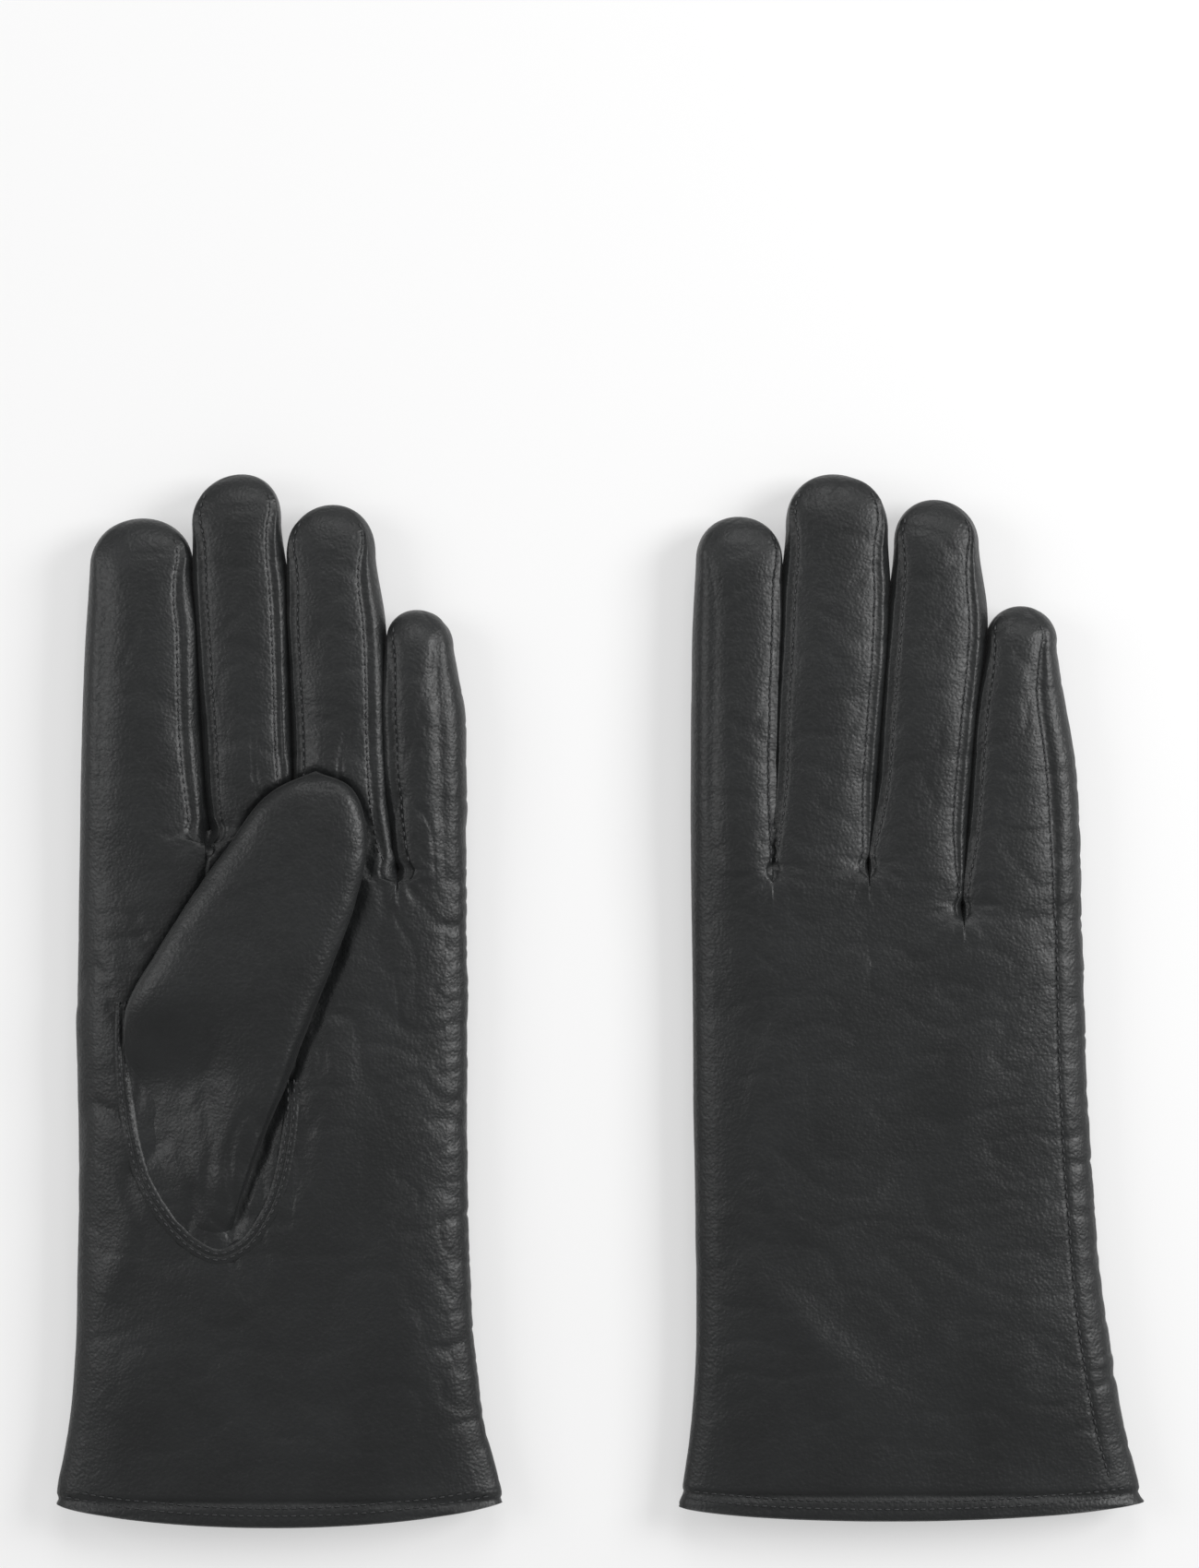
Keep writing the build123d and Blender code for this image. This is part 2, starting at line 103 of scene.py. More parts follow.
def along(points: Curve, where: np.ndarray) -> np.ndarray:
    """Smooth curve through a few points.

    Args:
        points: Pairs of position and value, in rising order of position.
        where: Positions to read.

    Returns:
        The curve's value at each position, held level past both ends.
    """
    x = np.array([p[0] for p in points])
    y = np.array([p[1] for p in points])
    slope = np.gradient(y, x)
    where = np.clip(where, x[0], x[-1])
    i = np.clip(np.searchsorted(x, where, side="right") - 1, 0, len(x) - 2)
    h = x[i + 1] - x[i]
    t = (where - x[i]) / h
    return (
        (2 * t**3 - 3 * t**2 + 1) * y[i]
        + (t**3 - 2 * t**2 + t) * h * slope[i]
        + (3 * t**2 - 2 * t**3) * y[i + 1]
        + (t**3 - t**2) * h * slope[i + 1]
    )


def path(points: Curve, share: np.ndarray) -> np.ndarray:
    """Smooth plane path through points, read by its share of length.

    Args:
        points: Corners of the path.
        share: Positions along it, from 0 to 1.

    Returns:
        One row of x and y for each position.
    """
    p = np.array(points, float)
    step = np.hypot(*np.diff(p, axis=0).T)
    s = np.concatenate([[0.0], np.cumsum(step)]) / step.sum()
    return np.stack([along(tuple(zip(s, p[:, k])), share) for k in (0, 1)], axis=-1)


def ramp(low: float, high: float, value: np.ndarray) -> np.ndarray:
    """Smooth step from 0 at low to 1 at high.

    Args:
        low: Value where the step starts.
        high: Value where it ends.
        value: Values to read it at.

    Returns:
        The step's height at each value.
    """
    t = np.clip((value - low) / (high - low), 0.0, 1.0)
    return t * t * (3 - 2 * t)


def rumple(points: np.ndarray, scale: Triple, seed: float) -> np.ndarray:
    """Smooth noise over points.

    Args:
        points: Rows of x, y and z in millimetres.
        scale: Waves per millimetre along each axis.
        seed: Shift that makes one field unlike another.

    Returns:
        Values from about -1 to 1.
    """
    q = points * np.array(scale) + seed
    return np.array([noise.noise(Vector(row)) for row in q])


def creases(points: np.ndarray, scale: Triple, seed: float) -> np.ndarray:
    """Sharp valleys between soft folds, from -1 in a valley to 0 between them.

    Args:
        points: Rows of x, y and z in millimetres.
        scale: Waves per millimetre along each axis.
        seed: Shift that makes one field unlike another.

    Returns:
        The depth at each point.
    """
    narrow, sharp = 6.0, 1.5
    return -np.clip(1.0 - np.abs(rumple(points, scale, seed)) * narrow, 0.0, 1.0) ** sharp


def bell(value: np.ndarray, width: float) -> np.ndarray:
    """Bell curve that is 1 at 0 and fades over a width."""
    return np.exp(-((value / width) ** 2))


@dataclass(frozen=True)
class Wave:
    """One layer of folds in the leather.

    Attributes:
        scale: Waves per millimetre along x, y and z.
        shift: Keeps the layer unlike the others.
        depth: Height of its folds in millimetres.
        sharp: Whether they are narrow valleys instead of soft waves.
    """

    scale: Triple
    shift: float
    depth: float
    sharp: bool = False

    def over(self, points: np.ndarray, seed: float) -> np.ndarray:
        """Height of the folds at each point."""
        pattern = creases if self.sharp else rumple
        return pattern(points, self.scale, seed + self.shift) * self.depth


@dataclass(frozen=True)
class Swell:
    """One broad soft rise in the leather.

    Attributes:
        x: Its middle across the glove.
        y: Its middle above the hem.
        width: Half of its width.
        length: Half of its length.
        turn: How far it leans to the right, in degrees.
        height: How far it rises.
    """

    x: float
    y: float
    width: float
    length: float
    turn: float
    height: float

    def over(self, x: np.ndarray, y: np.ndarray) -> np.ndarray:
        """Height of the rise at each point."""
        lean = np.radians(self.turn)
        across = (x - self.x) * np.cos(lean) - (y - self.y) * np.sin(lean)
        down = (x - self.x) * np.sin(lean) + (y - self.y) * np.cos(lean)
        return self.height * bell(across, self.width) * bell(down, self.length)


def folds(waves: tuple[Wave, ...], points: np.ndarray, seed: float) -> np.ndarray:
    """Height of several layers of folds together."""
    return sum(wave.over(points, seed) for wave in waves)


# ---------------------------------------------------------------- finishes


@dataclass(frozen=True)
class Leather:
    """Smooth dyed nappa with a low sheen."""

    name: str = "glove_leather"
    colour: Triple = (0.0075, 0.0083, 0.0086)
    worn: Triple = (0.0120, 0.0132, 0.0137)
    roughness: float = 0.42
    specular: float = 0.42
    sheen: float = 0.06
    sheen_roughness: float = 0.5
    mottle_scale: float = 60.0
    pebble_scale: float = 1450.0
    wrinkle_scale: float = 520.0
    wrinkle_stretch: Triple = (0.75, 1.0, 0.8)
    pore_scale: float = 900.0
    pebble_bump: tuple[float, float] = (0.50, 0.00020)  # strength, and depth in metres
    wrinkle_bump: tuple[float, float] = (0.38, 0.00028)
    pore_bump: tuple[float, float] = (0.30, 0.00012)

    def material(self) -> bpy.types.Material:
        """Builds the node material.

        Returns:
            Leather with fine pebbled grain, faint mottling and small wrinkles.
        """
        kit = NodeKit(self.name)
        place = kit.add("ShaderNodeAttribute", attribute_name="flat_place")
        mottle = kit.noise(place.outputs["Vector"], self.mottle_scale, 4.0)
        pebble = kit.add("ShaderNodeTexVoronoi", feature="SMOOTH_F1")
        pebble.inputs["Scale"].default_value = self.pebble_scale
        kit.join(place.outputs["Vector"], pebble.inputs["Vector"])
        stretch = kit.add("ShaderNodeMapping")
        stretch.inputs["Scale"].default_value = self.wrinkle_stretch
        kit.join(place.outputs["Vector"], stretch.inputs["Vector"])
        wrinkle = kit.noise(stretch.outputs["Vector"], self.wrinkle_scale, 4.0)
        pores = kit.noise(place.outputs["Vector"], self.pore_scale, 3.0)
        kit.tint(kit.spread(mottle, 0.35, 0.75, 0.0, 1.0), self.colour, self.worn)
        rough = kit.spread(pores, 0.3, 0.7, self.roughness - 0.05, self.roughness + 0.07)
        kit.join(rough, kit.shader.inputs["Roughness"])
        grain = kit.bump(pebble.outputs["Distance"], *self.pebble_bump, None)
        grain = kit.bump(wrinkle, *self.wrinkle_bump, grain)
        grain = kit.bump(pores, *self.pore_bump, grain)
        kit.join(grain, kit.shader.inputs["Normal"])
        kit.shader.inputs["Specular IOR Level"].default_value = self.specular
        kit.shader.inputs["Sheen Weight"].default_value = self.sheen
        kit.shader.inputs["Sheen Roughness"].default_value = self.sheen_roughness
        return kit.material


@dataclass(frozen=True)
class Knit:
    """Fine brushed knit lining."""

    name: str = "knit_lining"
    colour: Triple = (0.022, 0.022, 0.024)
    shade: Triple = (0.010, 0.010, 0.011)
    roughness: float = 0.92
    sheen: float = 0.3
    rib_scale: float = 320.0
    rib_wander: float = 1.5
    fluff_scale: float = 1600.0
    rib_bump: tuple[float, float] = (0.6, 0.0003)  # strength, and depth in metres
    fluff_bump: tuple[float, float] = (0.5, 0.0002)

    def material(self) -> bpy.types.Material:
        """Builds the node material of the lining."""
        kit = NodeKit(self.name)
        place = kit.add("ShaderNodeAttribute", attribute_name="flat_place")
        rib = kit.add("ShaderNodeTexWave", wave_type="BANDS", bands_direction="X")
        rib.inputs["Scale"].default_value = self.rib_scale
        rib.inputs["Distortion"].default_value = self.rib_wander
        kit.join(place.outputs["Vector"], rib.inputs["Vector"])
        fluff = kit.noise(place.outputs["Vector"], self.fluff_scale, 4.0)
        kit.tint(rib.outputs["Fac"], self.shade, self.colour)
        ribs = kit.bump(rib.outputs["Fac"], *self.rib_bump, None)
        kit.join(kit.bump(fluff, *self.fluff_bump, ribs), kit.shader.inputs["Normal"])
        kit.shader.inputs["Roughness"].default_value = self.roughness
        kit.shader.inputs["Sheen Weight"].default_value = self.sheen
        return kit.material


@dataclass(frozen=True)
class Thread:
    """Twisted black sewing thread."""

    name: str = "sewing_thread"
    colour: Triple = (0.010, 0.0105, 0.011)
    worn: Triple = (0.035, 0.036, 0.038)
    roughness: float = 0.5
    fibre_scale: float = 3000.0
    fibre_bump: tuple[float, float] = (0.4, 0.00008)  # strength, and depth in metres

    def material(self) -> bpy.types.Material:
        """Builds the node material of the thread."""
        kit = NodeKit(self.name)
        place = kit.add("ShaderNodeTexCoord")
        fibre = kit.noise(place.outputs["Object"], self.fibre_scale, 3.0)
        kit.tint(fibre, self.colour, self.worn)
        kit.join(kit.bump(fibre, *self.fibre_bump, None), kit.shader.inputs["Normal"])
        kit.shader.inputs["Roughness"].default_value = self.roughness
        return kit.material


class NodeKit:
    """Small helper that lays out one material's nodes."""

    def __init__(self, name: str) -> None:
        """Starts a material with its shader and output."""
        self.material = bpy.data.materials.new(name)
        self.material.use_nodes = True
        self.tree = self.material.node_tree
        self.shader = self.tree.nodes["Principled BSDF"]

    def add(self, kind: str, **settings: object) -> bpy.types.Node:
        """Adds a node with some of its settings."""
        node = self.tree.nodes.new(kind)
        for key, value in settings.items():
            setattr(node, key, value)
        return node

    def join(self, start: bpy.types.NodeSocket, end: bpy.types.NodeSocket) -> None:
        """Links two sockets."""
        self.tree.links.new(start, end)

    def tint(self, factor: bpy.types.NodeSocket, low: Triple, high: Triple) -> None:
        """Colours the shader from low to high by a factor.

        Args:
            factor: Socket that runs from 0 to 1.
            low: Colour at 0.
            high: Colour at 1.
        """
        mix_factor, mix_low, mix_high, mix_colour = 0, 6, 7, 2
        tone = self.add("ShaderNodeMix", data_type="RGBA")
        tone.inputs[mix_low].default_value = (*low, 1.0)
        tone.inputs[mix_high].default_value = (*high, 1.0)
        self.join(factor, tone.inputs[mix_factor])
        self.join(tone.outputs[mix_colour], self.shader.inputs["Base Color"])

    def noise(self, place: bpy.types.NodeSocket, scale: float, detail: float) -> bpy.types.NodeSocket:
        """Adds a noise texture and gives its value.

        Args:
            place: Socket with the place to read it at.
            scale: Its scale.
            detail: Its layers of detail.

        Returns:
            The socket with its value.
        """
        node = self.add("ShaderNodeTexNoise")
        node.inputs["Scale"].default_value = scale
        node.inputs["Detail"].default_value = detail
        self.join(place, node.inputs["Vector"])
        return node.outputs["Fac"]

    def spread(
        self, value: bpy.types.NodeSocket, low: float, high: float, to_low: float, to_high: float
    ) -> bpy.types.NodeSocket:
        """Adds a map range from low..high to to_low..to_high and gives its result.

        Args:
            value: Socket to map.
            low: Value that becomes to_low.
            high: Value that becomes to_high.
            to_low: Result at low.
            to_high: Result at high.

        Returns:
            The socket with the result.
        """
        node = self.add("ShaderNodeMapRange")
        for socket, number in zip(node.inputs[1:5], (low, high, to_low, to_high)):
            socket.default_value = number
        self.join(value, node.inputs[0])
        return node.outputs[0]

    def bump(
        self,
        height: bpy.types.NodeSocket,
        strength: float,
        distance: float,
        before: bpy.types.NodeSocket | None,
    ) -> bpy.types.NodeSocket:
        """Adds a bump of a height on top of another bump and gives its normal.

        Args:
            height: Socket with the height.
            strength: Share of the bump that shows.
            distance: Its depth in metres.
            before: Normal of the bump below it, or None.

        Returns:
            The socket with the bump's normal.
        """
        node = self.add("ShaderNodeBump")
        node.inputs["Strength"].default_value = strength
        node.inputs["Distance"].default_value = distance
        self.join(height, node.inputs["Height"])
        if before is not None:
            self.join(before, node.inputs["Normal"])
        return node.outputs["Normal"]


# ---------------------------------------------------------------- meshes


@dataclass
class Skin:
    """Points and faces of a leather surface, with what each is for."""

    points: np.ndarray
    quads: np.ndarray
    owner: np.ndarray  # per face: which piece it belongs to
    groove: np.ndarray  # per point: depth of the seam that runs through it
    upper: np.ndarray  # per point: 1 on the upper side, 0 on the resting side
    number: np.ndarray | None = None  # for each point before welding, the point that it became

    def welded(self) -> "Skin":
        """Joins points that lie in one place."""
        keys = np.round(self.points, 4)
        _, first, inverse = np.unique(keys, axis=0, return_index=True, return_inverse=True)
        inverse = inverse.reshape(-1)
        groove = np.zeros(len(first))
        np.maximum.at(groove, inverse, self.groove)
        quads = inverse[self.quads]
        flat = np.array([len(set(q)) < 3 for q in quads])
        upper = np.zeros(len(first))
        np.maximum.at(upper, inverse, self.upper)
        return Skin(self.points[first], quads[~flat], self.owner[~flat], groove, upper, inverse)

    def normals(self) -> np.ndarray:
        """Outward unit normal at each point."""
        p = self.points
        a, b, c, d = (p[self.quads[:, k]] for k in range(4))
        face = np.cross(c - a, d - b)
        total = np.zeros_like(p)
        for k in range(4):
            np.add.at(total, self.quads[:, k], face)
        length = np.linalg.norm(total, axis=1, keepdims=True)
        return total / np.where(length < 1e-12, 1.0, length)


def make_mesh(
    name: str,
    points: np.ndarray,
    faces: list[list[int]],
    normals: np.ndarray | None,
    rest: np.ndarray,
    material: bpy.types.Material,
) -> bpy.types.Object:
    """Makes a mesh object in the shared frame.

    Args:
        name: The piece's name.
        points: Its points in metres.
        faces: Its faces, as lists of point numbers.
        normals: A normal for each point, or None for plain smooth shading.
        rest: For each point, the place that its material's pattern is read at.
        material: Its finish.

    Returns:
        The new object, linked to the scene.
    """
    mesh = bpy.data.meshes.new(name)
    mesh.from_pydata(points.tolist(), [], faces)
    mesh.update()
    place = mesh.attributes.new("flat_place", "FLOAT_VECTOR", "POINT")
    place.data.foreach_set("vector", rest.astype(np.float32).ravel())
    mesh.shade_smooth()
    if normals is not None:
        mesh.normals_split_custom_set_from_vertices(normals.tolist())
    mesh.materials.append(material)
    thing = bpy.data.objects.new(name, mesh)
    bpy.context.scene.collection.objects.link(thing)
    return thing


def grid_quads(index: np.ndarray, upper: bool) -> np.ndarray:
    """Quads between rows and columns of point numbers, wound to face up or down.

    Args:
        index: Point numbers as rows by columns.
        upper: Whether the quads face up.

    Returns:
        One row of four point numbers for each quad.
    """
    a, b = index[:-1, :-1].ravel(), index[:-1, 1:].ravel()
    c, d = index[1:, 1:].ravel(), index[1:, :-1].ravel()
    return np.stack([a, b, c, d] if upper else [a, d, c, b], axis=1)


def loose_faces(quads: np.ndarray) -> tuple[np.ndarray, list[list[int]]]:
    """Numbers the points that some faces use from 0, and drops repeated corners.

    Args:
        quads: Four point numbers for each face, some of them repeated.

    Returns:
        The points that are used, and each face as a list of new numbers.
    """
    used, inverse = np.unique(quads, return_inverse=True)
    inverse = inverse.reshape(quads.shape)
    faces = []
    for quad in inverse.tolist():
        face = [v for k, v in enumerate(quad) if v != quad[k - 1]]
        if len(face) >= 3:
            faces.append(face)
    return used, faces


# ---------------------------------------------------------------- stitches


class StitchMaker:
    """Geometry Nodes tree that lays stitches along a curve."""

    THICKNESS = 0.0005  # of a stitch, in metres
    BEAD = {"Segments": 8, "Rings": 6, "Radius": 0.5}

    def __init__(self, thread: bpy.types.Material) -> None:
        """Builds the tree once.

        Args:
            thread: Finish of every stitch.
        """
        self.thread = thread
        tree = bpy.data.node_groups.new("stitch_run", "GeometryNodeTree")
        face = tree.interface
        face.new_socket("Seam", in_out="INPUT", socket_type="NodeSocketGeometry")
        for label, value in (("Pitch", STITCH_PITCH), ("Length", HEM_STITCH), ("Thickness", self.THICKNESS)):
            socket = face.new_socket(label, in_out="INPUT", socket_type="NodeSocketFloat")
            socket.default_value = value
        face.new_socket("Finish", in_out="INPUT", socket_type="NodeSocketMaterial")
        face.new_socket("Stitches", in_out="OUTPUT", socket_type="NodeSocketGeometry")
        start, end, sample, bead, size, tangent, turn, spread, real, finish = (
            tree.nodes.new(kind)
            for kind in (
                "NodeGroupInput",
                "NodeGroupOutput",
                "GeometryNodeResampleCurve",
                "GeometryNodeMeshUVSphere",
                "ShaderNodeCombineXYZ",
                "GeometryNodeInputTangent",
                "FunctionNodeAlignRotationToVector",
                "GeometryNodeInstanceOnPoints",
                "GeometryNodeRealizeInstances",
                "GeometryNodeSetMaterial",
            )
        )
        sample.mode = "LENGTH"
        turn.axis = "X"
        for key, value in self.BEAD.items():
            bead.inputs[key].default_value = value
        for source, given, target, taken in (
            (start, "Seam", sample, "Curve"),
            (start, "Pitch", sample, "Length"),
            (start, "Length", size, "X"),
            (start, "Thickness", size, "Y"),
            (start, "Thickness", size, "Z"),
            (tangent, "Tangent", turn, "Vector"),
            (sample, "Curve", spread, "Points"),
            (bead, "Mesh", spread, "Instance"),
            (turn, "Rotation", spread, "Rotation"),
            (size, "Vector", spread, "Scale"),
            (spread, "Instances", real, "Geometry"),
            (real, "Geometry", finish, "Geometry"),
            (start, "Finish", finish, "Material"),
            (finish, "Geometry", end, "Stitches"),
        ):
            tree.links.new(source.outputs[given], target.inputs[taken])
        self.tree = tree

    def sew(self, name: str, runs: list[np.ndarray], pitch: float, length: float) -> bpy.types.Object:
        """Lays stitches along runs of points.

        Args:
            name: The piece's name.
            runs: Each run's points, in metres.
            pitch: From one stitch to the next, in metres.
            length: Length of a stitch, in metres.

        Returns:
            A plain mesh of all the stitches.
        """
        curve = bpy.data.curves.new(name, "CURVE")
        curve.dimensions = "3D"
        for run in runs:
            spline = curve.splines.new("POLY")
            spline.points.add(len(run) - 1)
            spline.points.foreach_set("co", np.c_[run, np.ones(len(run))].ravel())
        thing = bpy.data.objects.new(name, curve)
        bpy.context.scene.collection.objects.link(thing)
        modifier = thing.modifiers.new("stitches", "NODES")
        modifier.node_group = self.tree
        values = {"Pitch": pitch, "Length": length, "Finish": self.thread}
        for item in self.tree.interface.items_tree:
            if item.in_out == "INPUT" and item.name in values:
                modifier[item.identifier] = values[item.name]
        ready = thing.evaluated_get(bpy.context.evaluated_depsgraph_get())
        mesh = bpy.data.meshes.new_from_object(ready)
        bpy.data.objects.remove(thing)
        mesh.name = name
        mesh.shade_smooth()
        piece = bpy.data.objects.new(name, mesh)
        bpy.context.scene.collection.objects.link(piece)
        return piece


# ---------------------------------------------------------------- glove


@dataclass(frozen=True)
class FingerPlan:
    """One finger's flat outline and seams.

    Sides are pairs of height and x from the crotch up to the shoulder of the tip.
    """

    name: str
    left: Curve
    right: Curve
    tip: tuple[float, float]
    seams: tuple[float, float]  # from each side to its fourchette seam; 0 for a folded side
    split: float  # height where the finger's own piece starts


@dataclass(frozen=True)
class GlovePlan:
    """One glove's flat outline.

    Sides are pairs of height and x, and the thumb's sides are pairs of x and y from its heel to its tip.
    """

    side: str
    face: Face
    left: Curve
    right: Curve
    hem_rise: float
    crotches: tuple[tuple[float, float], ...]
    fingers: tuple[FingerPlan, ...]
    thumb_left: Curve
    thumb_right: Curve
    seed: float
    crotch_share: float  # width of a fourchette's end at the crotch, as a share of its full width
    swells: tuple[Swell, ...]
    thumb_height: float  # thickness of the thumb as it lies


LEFT = GlovePlan(
    side="left",
    face=Face.PALM_UP,
    left=((0, -53.0), (5, -52.5), (12, -51.1), (21, -49.7), (38, -48.3), (60, -47.8), (100, -47.5),
          (120, -47.8), (150, -47.3), (181, -46.8), (208, -46.0), (231, -44.6)),
    right=((0, 55.6), (5, 54.8), (12, 53.1), (21, 50.9), (38, 48.8), (60, 47.3), (100, 47.2), (150, 46.8),
           (181, 46.6), (199, 45.7), (212, 43.4)),
    hem_rise=4.9,
    crotches=((-15.4, 168.5), (5.6, 165.0), (30.2, 158.7)),
    fingers=(
        FingerPlan("index", (), ((168.5, -15.4), (182, -17.0), (201, -18.1), (218, -18.6), (231, -19.9)),
                   (-31.8, 243.3), (0.0, 4.7), 173.0),
        FingerPlan("middle", ((168.5, -15.4), (182, -16.2), (201, -17.3), (222, -18.3), (242, -19.6)),
                   ((165.0, 5.6), (182, 4.6), (201, 3.9), (222, 2.9), (242, 1.4)),
                   (-7.8, 254.0), (2.9, 3.4), 173.0),
        FingerPlan("ring", ((165.0, 5.6), (182, 5.3), (201, 4.6), (218, 3.9), (234, 3.3)),
                   ((158.7, 30.2), (175, 27.6), (195, 26.6), (215, 26.1), (234, 24.4)),
                   (14.3, 246.6), (2.4, 4.2), 170.0),
        FingerPlan("little", ((158.7, 30.2), (172, 28.3), (188, 27.1), (200, 26.9), (212, 27.4)), (),
                   (34.6, 221.1), (3.4, 7.0), 164.0),
    ),
    thumb_left=((-10.1, 70.0), (-22.0, 71.5), (-30.3, 86.0), (-34.6, 106.0), (-35.0, 124.0), (-27.3, 138.2),
                (-11.6, 162.3), (0.2, 177.3), (10.7, 182.4)),
    thumb_right=((-10.1, 70.0), (-3.8, 88.4), (5.1, 110.8), (13.2, 131.0), (20.6, 152.0), (23.3, 166.0),
                 (19.6, 178.0), (10.7, 182.4)),
    seed=3.7,
    crotch_share=0.95,
    swells=(
        Swell(12.5, 98.0, width=7.0, length=26.0, turn=6.0, height=0.9),
        Swell(-38.0, 62.0, width=4.0, length=16.0, turn=20.0, height=0.6),
        Swell(30.0, 58.0, width=6.0, length=22.0, turn=-12.0, height=0.5),
    ),
    thumb_height=7.0,
)
RIGHT = GlovePlan(
    side="right",
    face=Face.BACK_UP,
    left=((0, -50.4), (5, -49.6), (19, -47.7), (36, -46.5), (60, -46.3), (100, -47.0), (130, -47.3),
          (162, -47.6), (200, -47.4), (214, -47.2), (231, -46.3)),
    right=((0, 62.2), (5, 61.0), (19, 57.3), (30, 55.2), (46, 52.9), (72, 50.7), (99, 48.9), (144, 47.6),
           (162, 47.2), (180, 46.2), (198, 43.6), (210, 41.2)),
    hem_rise=3.4,
    crotches=((-28.1, 157.3), (-4.8, 158.4), (18.0, 148.2)),
    fingers=(
        FingerPlan("index", (), ((157.3, -28.1), (175, -27.5), (195, -27.0), (215, -26.2), (231, -25.6)),
                   (-36.1, 242.1), (0.0, 2.0), 162.0),
        FingerPlan("middle", ((157.3, -28.1), (175, -27.0), (195, -26.3), (220, -25.0), (239, -24.3)),
                   ((158.4, -4.8), (175, -3.2), (195, -1.8), (220, -0.4), (239, 0.0)),
                   (-13.1, 252.4), (2.5, 3.3), 163.0),
        FingerPlan("ring", ((158.4, -4.8), (175, -2.4), (195, -0.7), (215, 1.0), (235, 2.0)),
                   ((148.2, 18.0), (165, 19.1), (190, 21.0), (215, 23.3), (235, 22.0)),
                   (11.4, 246.2), (2.2, 3.8), 163.0),
        FingerPlan("little", ((148.2, 18.0), (165, 19.6), (185, 21.1), (200, 22.5), (211, 24.2)), (),
                   (32.4, 220.4), (2.0, 7.0), 153.0),
    ),
    thumb_left=((-12.5, 66.0), (-26.0, 75.0), (-32.0, 95.0), (-24.0, 121.0), (0.0, 133.0), (20.0, 142.0),
                (33.0, 141.0)),
    thumb_right=((-12.5, 66.0), (-5.0, 77.0), (0.0, 88.0), (12.0, 100.0), (30.0, 116.0), (37.0, 128.0),
                 (33.0, 141.0)),
    seed=9.1,
    crotch_share=0.5,
    swells=(
        Swell(-20.0, 46.0, width=5.5, length=26.0, turn=-48.0, height=0.9),
        Swell(18.0, 96.0, width=7.0, length=24.0, turn=15.0, height=0.6),
    ),
    thumb_height=6.2,
)


